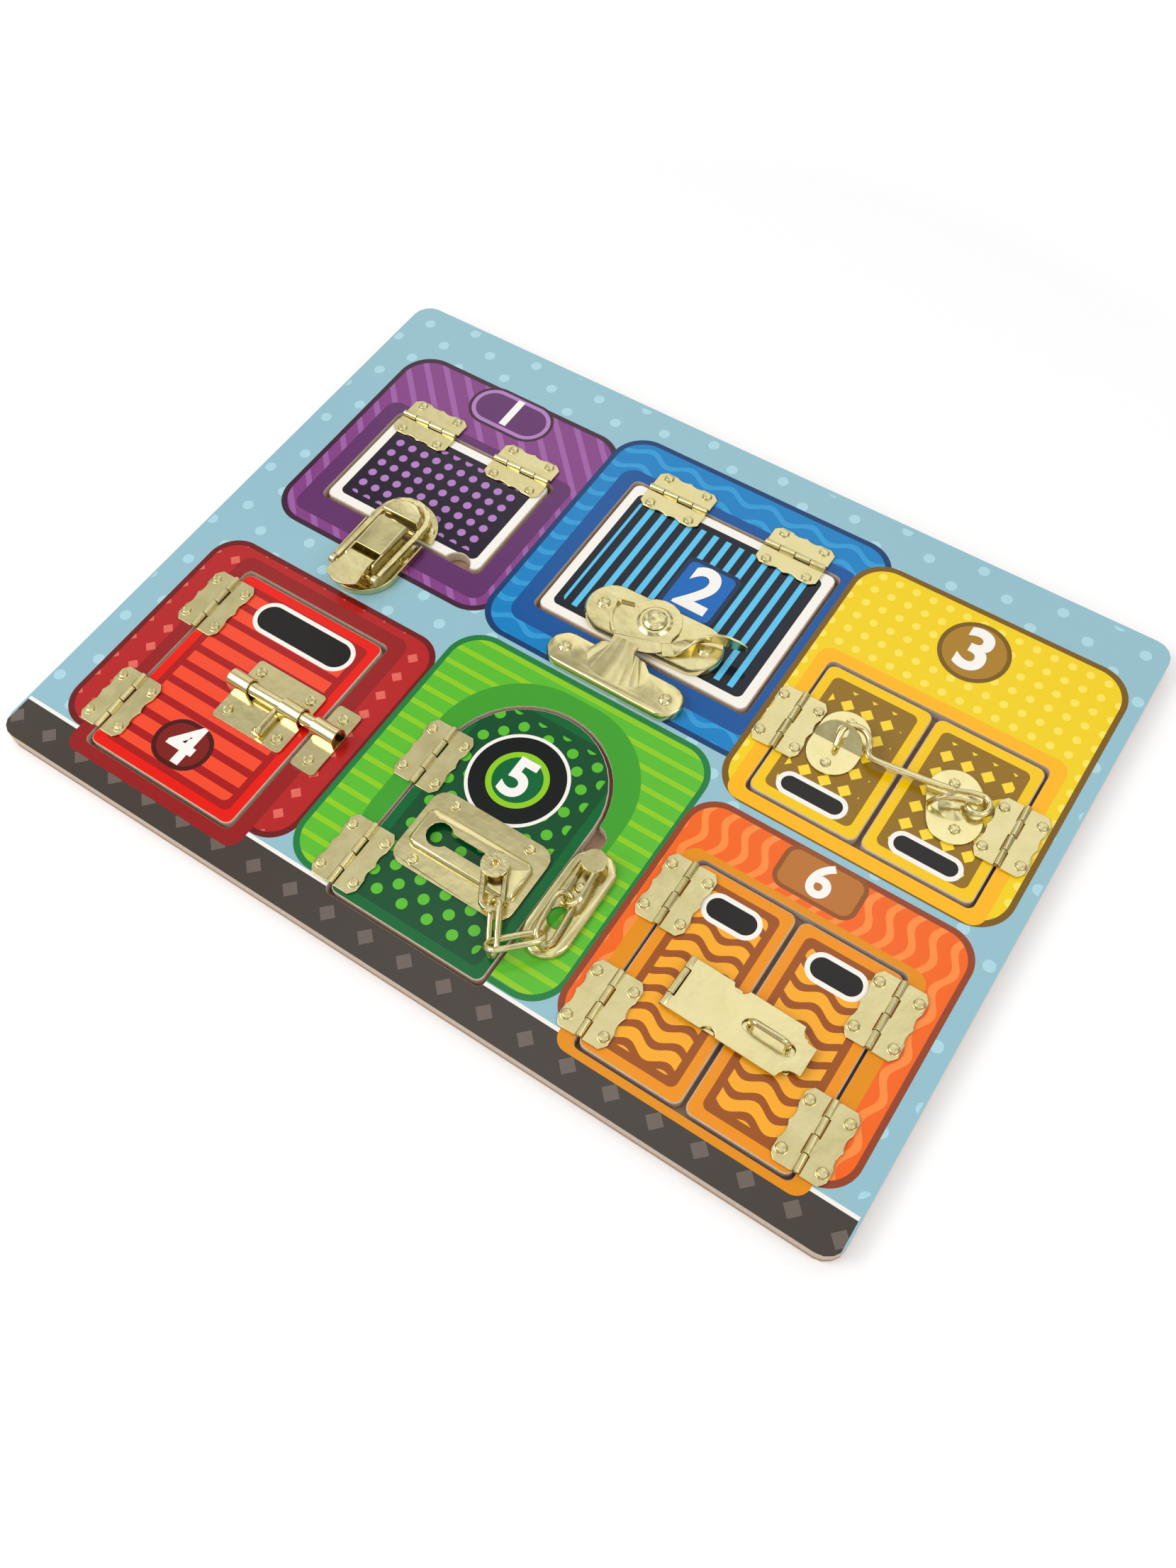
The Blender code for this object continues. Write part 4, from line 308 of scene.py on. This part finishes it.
def flap_layers(node, field, marks, pattern):
    """A coloured field inside the flap's border and a pattern on the field, from the flap's own box."""
    low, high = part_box(node)
    x = (low.x + high.x) / 2 / MM
    y = (low.y + high.y) / 2 / MM
    width = (high.x - low.x) / MM
    height = (high.y - low.y) / MM
    inner = (x, y, width - 2 * RIM, height - 2 * RIM, FIELD_CORNER)
    core = (x, y, width - 2 * MARKS_RIM, height - 2 * MARKS_RIM, FIELD_CORNER)
    return [(field, inner), (marks, core, *pattern)]


FLAP_PRINTS = {
    "window_1": ("f4efe6", "1d0c24", "b07cc0", ("dots", 7.0, 0.56, 0)),
    "window_2": ("f4efe6", "06101e", "58c0ea", ("stripes", 6.5, 0.42, 90)),
    "door_3_left": ("f3c400", "8f6a0a", "f7d430", ("diamonds", 9.0, 0.70, 0)),
    "door_3_right": ("f3c400", "8f6a0a", "f7d430", ("diamonds", 9.0, 0.70, 0)),
    "door_4": ("e61400", "a81212", "f04a2a", ("stripes", 9.0, 0.62, 0)),
    "door_5": ("00642f", "0a4d28", "5ab92d", ("dots", 8.5, 0.55, 45)),
    "door_6_left": ("eb8f0a", "9a4f10", "f5a822", ("waves", 8.0, 0.60, 0)),
    "door_6_right": ("eb8f0a", "9a4f10", "f5a822", ("waves", 8.0, 0.60, 0)),
}
FLAP_SIGNS = {
    "window_2": [("0c2c50", (12.7, 66.7, 27, 31, 4)), ("0064b4", (12.7, 66.7, 23, 27, 3))],
    "door_3_left": [(WHITE_RIM, (102.6, 5, 31, 11, 5.5)), ("14100a", (102.6, 5, 27, 7, 3.5))],
    "door_3_right": [(WHITE_RIM, (152.6, 5, 31, 11, 5.5)), ("14100a", (152.6, 5, 27, 7, 3.5))],
    "door_4": [
        (WHITE_RIM, (-118, -43.5, 52, 17, 8.5)),
        ("140c0c", (-118, -43.5, 48, 13, 6.5)),
        ("4a0c0c", (-125.5, -112.1, 27, 22, 11)),
        ("7d1a14", (-125.5, -112.1, 23, 18, 9)),
    ],
    "door_5": [
        (WHITE_RIM, (0.1, -52, 43, 43, 21.5)),
        ("0c120e", (0.1, -52, 40, 40, 20)),
        ("8cc81e", (0.1, -52, 26, 26, 13)),
        ("006432", (0.1, -52, 21, 21, 10.5)),
    ],
    "door_6_left": [(WHITE_RIM, (102.8, -57, 25, 13, 6.5)), ("140e0a", (102.8, -57, 21, 9, 4.5))],
    "door_6_right": [(WHITE_RIM, (147.6, -57, 25, 13, 6.5)), ("140e0a", (147.6, -57, 21, 9, 4.5))],
}
flap_materials = {}
for node, (border, field, marks, pattern) in FLAP_PRINTS.items():
    layers = flap_layers(node, field, marks, pattern) + FLAP_SIGNS.get(node, [])
    flap_materials[node] = printed_sheet(f"gloss_printed_{node}", border, layers)

# %% [markdown]
# ## The back sheet
# Behind the panel is a bare sheet of brown fibreboard. It is pressed from cooked wood fibres, so it has no
# grain, only fine speckles and a few darker fibres. It is dry and dull, with a roughness of about 0.85.

# %% Bare fibreboard
SPECKLES_PER_MM = 0.9


def bare_fibreboard():
    """Dry pressed board, speckled by its fibres."""
    made, tree, shader = blank_material("bare_brown_fibreboard")
    place = in_millimetres(tree)
    speckles = [("Vector", place), ("Scale", SPECKLES_PER_MM), ("Detail", 6.0), ("Roughness", 0.7)]
    fibres = add(tree, "ShaderNodeTexNoise", speckles).outputs[0]
    shades = add(
        tree, "ShaderNodeMix", [("Factor", fibres), (6, ink("96715a")), (7, ink("c6a68c"))], data_type="RGBA"
    ).outputs[2]
    tree.links.new(shades, shader.inputs["Base Color"])
    shader.inputs["Roughness"].default_value = 0.85
    shader.inputs["IOR"].default_value = 1.45
    bump = add(tree, "ShaderNodeBump", [("Height", fibres), ("Strength", 0.3), ("Distance", 0.1 * MM)])
    tree.links.new(bump.outputs[0], shader.inputs["Normal"])
    return made


back_sheet = bare_fibreboard()
print("the back sheet is", back_sheet.name)

# %% [markdown]
# ## Brass plated steel
# All the latches are pressed from thin steel and plated with brass, which a clear lacquer keeps from going
# brown. Plated metal is fully metallic. Its colour is a pale greenish yellow, paler than solid brass. Rolled
# sheet is a little soft in its shine, and drawn wire is smoother. The shine varies a little from place to
# place, where fingers and tools have been, and a tiny unevenness bends the reflections.

# %% Three brass finishes
CLOUDS_PER_MM = 0.12
DENT_DEPTH = 0.5 * MM


def plated_brass(name, pale, deep, roughness, dents):
    """Brass plate. Dents is the width in millimetres of the faint unevenness of the metal."""
    made, tree, shader = blank_material(name)
    place = in_millimetres(tree)
    cloud = add(
        tree, "ShaderNodeTexNoise", [("Vector", place), ("Scale", CLOUDS_PER_MM), ("Detail", 3.0)]
    ).outputs[0]
    shades = add(
        tree, "ShaderNodeMix", [("Factor", cloud), (6, ink(deep)), (7, ink(pale))], data_type="RGBA"
    ).outputs[2]
    tree.links.new(shades, shader.inputs["Base Color"])
    shader.inputs["Metallic"].default_value = 1.0
    wear = add(
        tree, "ShaderNodeMapRange",
        [("Value", cloud), ("To Min", roughness * 0.8), ("To Max", roughness * 1.3)],
    ).outputs[0]
    tree.links.new(wear, shader.inputs["Roughness"])
    uneven = add(
        tree, "ShaderNodeTexNoise", [("Vector", place), ("Scale", 1 / dents), ("Detail", 2.0)]
    ).outputs[0]
    bump = add(
        tree, "ShaderNodeBump", [("Height", uneven), ("Strength", 0.22), ("Distance", DENT_DEPTH)]
    ).outputs[0]
    tree.links.new(bump, shader.inputs["Normal"])
    return made


hinge_brass = plated_brass("brass_plated_hinge_sheet", "ebe0ae", "d2c486", 0.24, 6.0)
latch_brass = plated_brass("brass_plated_latch_sheet", "eee3b0", "d6c88a", 0.17, 7.0)
wire_brass = plated_brass("brass_plated_drawn_wire", "f0e5b4", "dacb90", 0.12, 4.0)
print("brass roughness: hinge 0.24, latch 0.17, wire 0.12")

# %% [markdown]
# ## Give each solid its finish
# The solids keep their shapes. Only the material in each one's slot is changed.

# %% Dress the solids


def finish_of(node):
    """The material for a solid, by its name."""
    if node == "front_board":
        return panel_print
    if node == "back_board":
        return back_sheet
    if node in flap_materials:
        return flap_materials[node]
    if node.startswith("hinge_"):
        return hinge_brass
    if node in ("hook", "bolt_rod", "chain_end_link") or node.startswith("chain_link"):
        return wire_brass
    return latch_brass


for node, solid in NODES.items():
    for place in solid.material_slots:
        place.material = finish_of(node)
print("dressed", len(NODES), "solids")

# %% [markdown]
# ## Rounded metal
# The solids have sharp edges and few facets, since a machine only needs their shape. On real sheet metal the
# press leaves every edge about a sixth of a millimetre round, and that thin round line is what catches the
# light. Each metal solid is replaced by a finer copy of itself. The edges of sheet are bevelled, while bent
# wire is subdivided until it is round. Subdividing pulls a thin tube in by about a sixth of its width, so
# the copy is swollen by about as much first. Where edges lie close together, the bevel is held back.

# %% Finer metal pieces
MERGE = 0.001 * MM
SHEET_EDGE = 0.16 * MM
EDGE_STEPS = 2
CORNER_ANGLE = math.radians(50)
SLIGHT_ANGLE = math.radians(3)
LEVEL = 0.9999
FLAT_WEIGHT = 80
WIRE_SWELL = 0.20 * MM
WIRE_ROUNDS = 2
WIRE_END_ANGLE = math.radians(62)
WIRE_END_CREASE = 0.8
SQUARE_BEND = math.radians(25)
SQUARE_SKEW = math.radians(70)
FLAT_TOPPED = ("hook_eye_plate", "sash_lock_cam", "sash_lock_base")
CROWDED = ("bolt_keeper", "bolt_plate", "sash_lock_keeper", "hook_eye_plate", "hook_catch_plate")
WIRES = ("chain_link_b", "chain_link_c", "chain_link_d", "hook", "draw_latch_bail")


def solid_faces(node):
    """The solid's faces in a new mesh, with the points that they share made one again."""
    shape = bmesh.new()
    shape.from_mesh(NODES[node].data)
    bmesh.ops.remove_doubles(shape, verts=shape.verts, dist=MERGE)
    return shape


def mark_corners(shape, node):
    """Marks the edges where a sheet's surface breaks. The rest of it shades smoothly."""
    for edge in shape.edges:
        turn = edge.calc_face_angle(0)
        level = node in FLAT_TOPPED and any(face.normal.z > LEVEL for face in edge.link_faces)
        edge.smooth = turn < CORNER_ANGLE and not (level and turn > SLIGHT_ANGLE)


def swell_wire(shape):
    """Joins a wire's triangles to squares, swells it and keeps its cut ends crisp."""
    bmesh.ops.join_triangles(
        shape, faces=shape.faces, angle_face_threshold=SQUARE_BEND, angle_shape_threshold=SQUARE_SKEW
    )
    shape.normal_update()
    moves = [(point, point.normal * WIRE_SWELL) for point in shape.verts]
    for point, move in moves:
        point.co += move
    crease = shape.edges.layers.float.new("crease_edge")
    for edge in shape.edges:
        if edge.is_manifold and edge.calc_face_angle() > WIRE_END_ANGLE:
            edge[crease] = WIRE_END_CREASE


def round_off(piece, node):
    """Subdivides a wire, or bevels the edges of a sheet and keeps its flat faces flat."""
    if node in WIRES:
        rounder = piece.modifiers.new("round_wire", "SUBSURF")
        rounder.levels = WIRE_ROUNDS
        rounder.render_levels = WIRE_ROUNDS
        return
    rounder = piece.modifiers.new("round_edges", "BEVEL")
    rounder.limit_method = "ANGLE"
    rounder.angle_limit = CORNER_ANGLE
    rounder.width = SHEET_EDGE
    rounder.segments = EDGE_STEPS
    rounder.use_clamp_overlap = node in CROWDED
    flatter = piece.modifiers.new("keep_flats_flat", "WEIGHTED_NORMAL")
    flatter.weight = FLAT_WEIGHT
    flatter.keep_sharp = True


def finer_piece(node):
    """A finer copy of a metal solid, which rides on the same body and stands for it."""
    shape = solid_faces(node)
    if node in WIRES:
        swell_wire(shape)
    else:
        mark_corners(shape, node)
    mesh = bpy.data.meshes.new("finer_" + node)
    shape.to_mesh(mesh)
    shape.free()
    for extra in ("custom_normal", "sharp_face"):
        if extra in mesh.attributes:
            mesh.attributes.remove(mesh.attributes[extra])
    mesh.materials.clear()
    mesh.materials.append(finish_of(node))
    for face in mesh.polygons:
        face.use_smooth = True
        face.material_index = 0
    piece = bpy.data.objects.new("finer_" + node, mesh)
    bpy.context.scene.collection.objects.link(piece)
    round_off(piece, node)
    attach(piece, NODES[node].parent.name.removeprefix("body:"))
    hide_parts(node)
    return piece


METALS = (hinge_brass, latch_brass, wire_brass)
metal_nodes = [node for node in NODES if finish_of(node) in METALS]
finer = [finer_piece(node) for node in metal_nodes]
print("finer metal pieces:", len(finer))

# %% [markdown]
# ## The numbers
# Each flap has a plain white number on it or above it. On the real board it is white paper that the ink
# leaves open. Here it is thin lettering laid on the print, 0.04 mm above it, which looks the same.

# %% White numbers
NUMBER_LIFT = 0.04 * MM
BOLDNESS = 0.03
paper = printed_sheet("white_paper_under_gloss_film", "f4f1ea", [])
NUMBERS = (
    ("1", -117, 108.5, 23, "board", "printed_board"),
    ("2", 12.7, 66.7, 32, "window_2", "blue_print"),
    ("3", 126.5, 101.1, 30, "board", "printed_board"),
    ("4", -125.5, -112.1, 26, "door_4", "red_print"),
    ("5", 0.1, -52, 25, "door_5", "green_print"),
    ("6", 124, -26.5, 21, "board", "printed_board"),
)
for digit, x, y, size, body, slot in NUMBERS:
    lettering = bpy.data.curves.new(f"number_{digit}", "FONT")
    lettering.body = digit
    lettering.size = size * MM
    lettering.offset = size * MM * BOLDNESS
    lettering.align_x = "CENTER"
    lettering.align_y = "CENTER"
    lettering.extrude = NUMBER_LIFT / 4
    lettering.materials.append(paper)
    number = bpy.data.objects.new(f"number_{digit}", lettering)
    bpy.context.scene.collection.objects.link(number)
    number.location = (x * MM, y * MM, BOARD_TOP + NUMBER_LIFT)
    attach(number, body)
print("numbers:", [row[0] for row in NUMBERS])

# %% [markdown]
# ## The studio
# The board lies on a white floor under two soft lamps, with the room's own light from all round. Metal
# only looks like metal when it has something to reflect, so the room is bright above and greyer low down,
# with soft panels of light and darker gaps between them, as in a studio. The floor takes the shadow close
# by, and further off it glows white for the camera, like a lit paper roll.

# %% Floor, room and lamps
FLOOR_SIZE = 40
FLOOR_DROP = 0.05 * MM
GLOW_START = 0.35
GLOW_END = 1.2
NEAR_GLOW = 0.12


def white_floor():
    """White paper that shows a shadow near the board and glows further off."""
    made, tree, shader = blank_material("white_studio_floor")
    shader.inputs["Base Color"].default_value = ink("f0f0f0")
    shader.inputs["Roughness"].default_value = 0.9
    where = add(tree, "ShaderNodeTexCoord", []).outputs["Object"]
    away = add(tree, "ShaderNodeVectorMath", [(0, where)], operation="LENGTH").outputs["Value"]
    fade = [("Value", away), ("From Min", GLOW_START), ("From Max", GLOW_END), ("To Min", NEAR_GLOW)]
    glow = add(tree, "ShaderNodeMapRange", fade).outputs[0]
    ray = add(tree, "ShaderNodeLightPath", [])
    seen = add(
        tree, "ShaderNodeMath", [(0, ray.outputs["Is Camera Ray"]), (1, glow)], operation="MULTIPLY"
    ).outputs[0]
    shader.inputs["Emission Color"].default_value = (1, 1, 1, 1)
    tree.links.new(seen, shader.inputs["Emission Strength"])
    return made


bpy.ops.mesh.primitive_plane_add(size=FLOOR_SIZE, location=(0, 0, -FLOOR_DROP))
floor = bpy.context.object
floor.name = "studio_floor"
floor.data.materials.append(white_floor())

room = bpy.data.worlds.new("studio_room")
bpy.context.scene.world = room
room.use_nodes = True
sky = room.node_tree
background = sky.nodes["Background"]
direction = add(sky, "ShaderNodeTexCoord", [])
height = add(sky, "ShaderNodeSeparateXYZ", [(0, direction.outputs["Generated"])]).outputs[2]
walls = add(
    sky, "ShaderNodeMapRange",
    [("Value", height), ("From Min", -0.30), ("From Max", 0.80), ("To Min", 0.35), ("To Max", 0.80)],
    interpolation_type="SMOOTHSTEP",
).outputs[0]
clouds = add(
    sky, "ShaderNodeTexNoise", [("Vector", direction.outputs["Generated"]), ("Scale", 3.2), ("Detail", 1.0)]
).outputs[0]
panels = add(
    sky, "ShaderNodeMapRange",
    [("Value", clouds), ("From Min", 0.38), ("From Max", 0.62), ("To Min", 0.40), ("To Max", 1.65)],
    interpolation_type="SMOOTHSTEP",
).outputs[0]
lit = add(sky, "ShaderNodeMath", [(0, walls), (1, panels)], operation="MULTIPLY").outputs[0]
ray = add(sky, "ShaderNodeLightPath", [])
level = add(
    sky, "ShaderNodeMath", [(0, lit), (1, ray.outputs["Is Camera Ray"])], operation="MAXIMUM"
).outputs[0]
sky.links.new(level, background.inputs["Strength"])
background.inputs["Color"].default_value = (1, 1, 1, 1)


def soft_box(name, place, size, power):
    """A square lamp with a soft edge that faces the middle of the board."""
    lamp = bpy.data.lights.new(name, "AREA")
    lamp.shape = "SQUARE"
    lamp.size = size
    lamp.energy = power
    holder = bpy.data.objects.new(name, lamp)
    bpy.context.scene.collection.objects.link(holder)
    holder.location = place
    aim = holder.location.to_track_quat("Z", "Y")
    holder.rotation_euler = aim.to_euler()


soft_box("key_soft_box", (-0.80, -0.62, 1.05), 0.8, 6.5)
soft_box("fill_soft_box", (0.95, -0.10, 0.95), 0.6, 2.5)
print("lamps: key and fill")

# %% [markdown]
# ## The camera
# The camera was found from the corners and straight edges of the board in the photograph: how far away it
# stood, which way it looked and how long its lens was. The three rows are the directions to the picture's
# right, down the picture and into it. The small shift is there because the picture was cropped a little.

# %% Set the camera
PICTURE_WIDTH = 1659
PICTURE_HEIGHT = 2212
FOCAL_PIXELS = 1930.29
MIDDLE_X = 866.91
MIDDLE_Y = 1105.90
SENSOR = 36.0
RIGHT = Vector((0.8361999, 0.5478559, -0.0249722))
DOWN = Vector((0.4673463, -0.7356651, -0.4902900))
AHEAD = Vector((-0.2869794, 0.3983098, -0.8712015))
EYE = Vector((190.66 * MM, -250.19 * MM, 475.80 * MM + BOARD_TOP))

lens = bpy.data.cameras.new("camera")
lens.sensor_width = SENSOR
lens.lens = FOCAL_PIXELS * SENSOR / PICTURE_HEIGHT
lens.shift_x = (PICTURE_WIDTH / 2 - MIDDLE_X) / PICTURE_HEIGHT
lens.shift_y = (MIDDLE_Y - PICTURE_HEIGHT / 2) / PICTURE_HEIGHT
lens.clip_start = 0.01
camera = bpy.data.objects.new("camera", lens)
bpy.context.scene.collection.objects.link(camera)
camera.matrix_world = Matrix.Translation(EYE) @ Matrix((RIGHT, -DOWN, -AHEAD)).transposed().to_4x4()
bpy.context.scene.camera = camera
bpy.context.scene.view_settings.view_transform = "Standard"
print("lens:", round(lens.lens, 2), "mm, shift:", round(lens.shift_x, 4), round(lens.shift_y, 4))
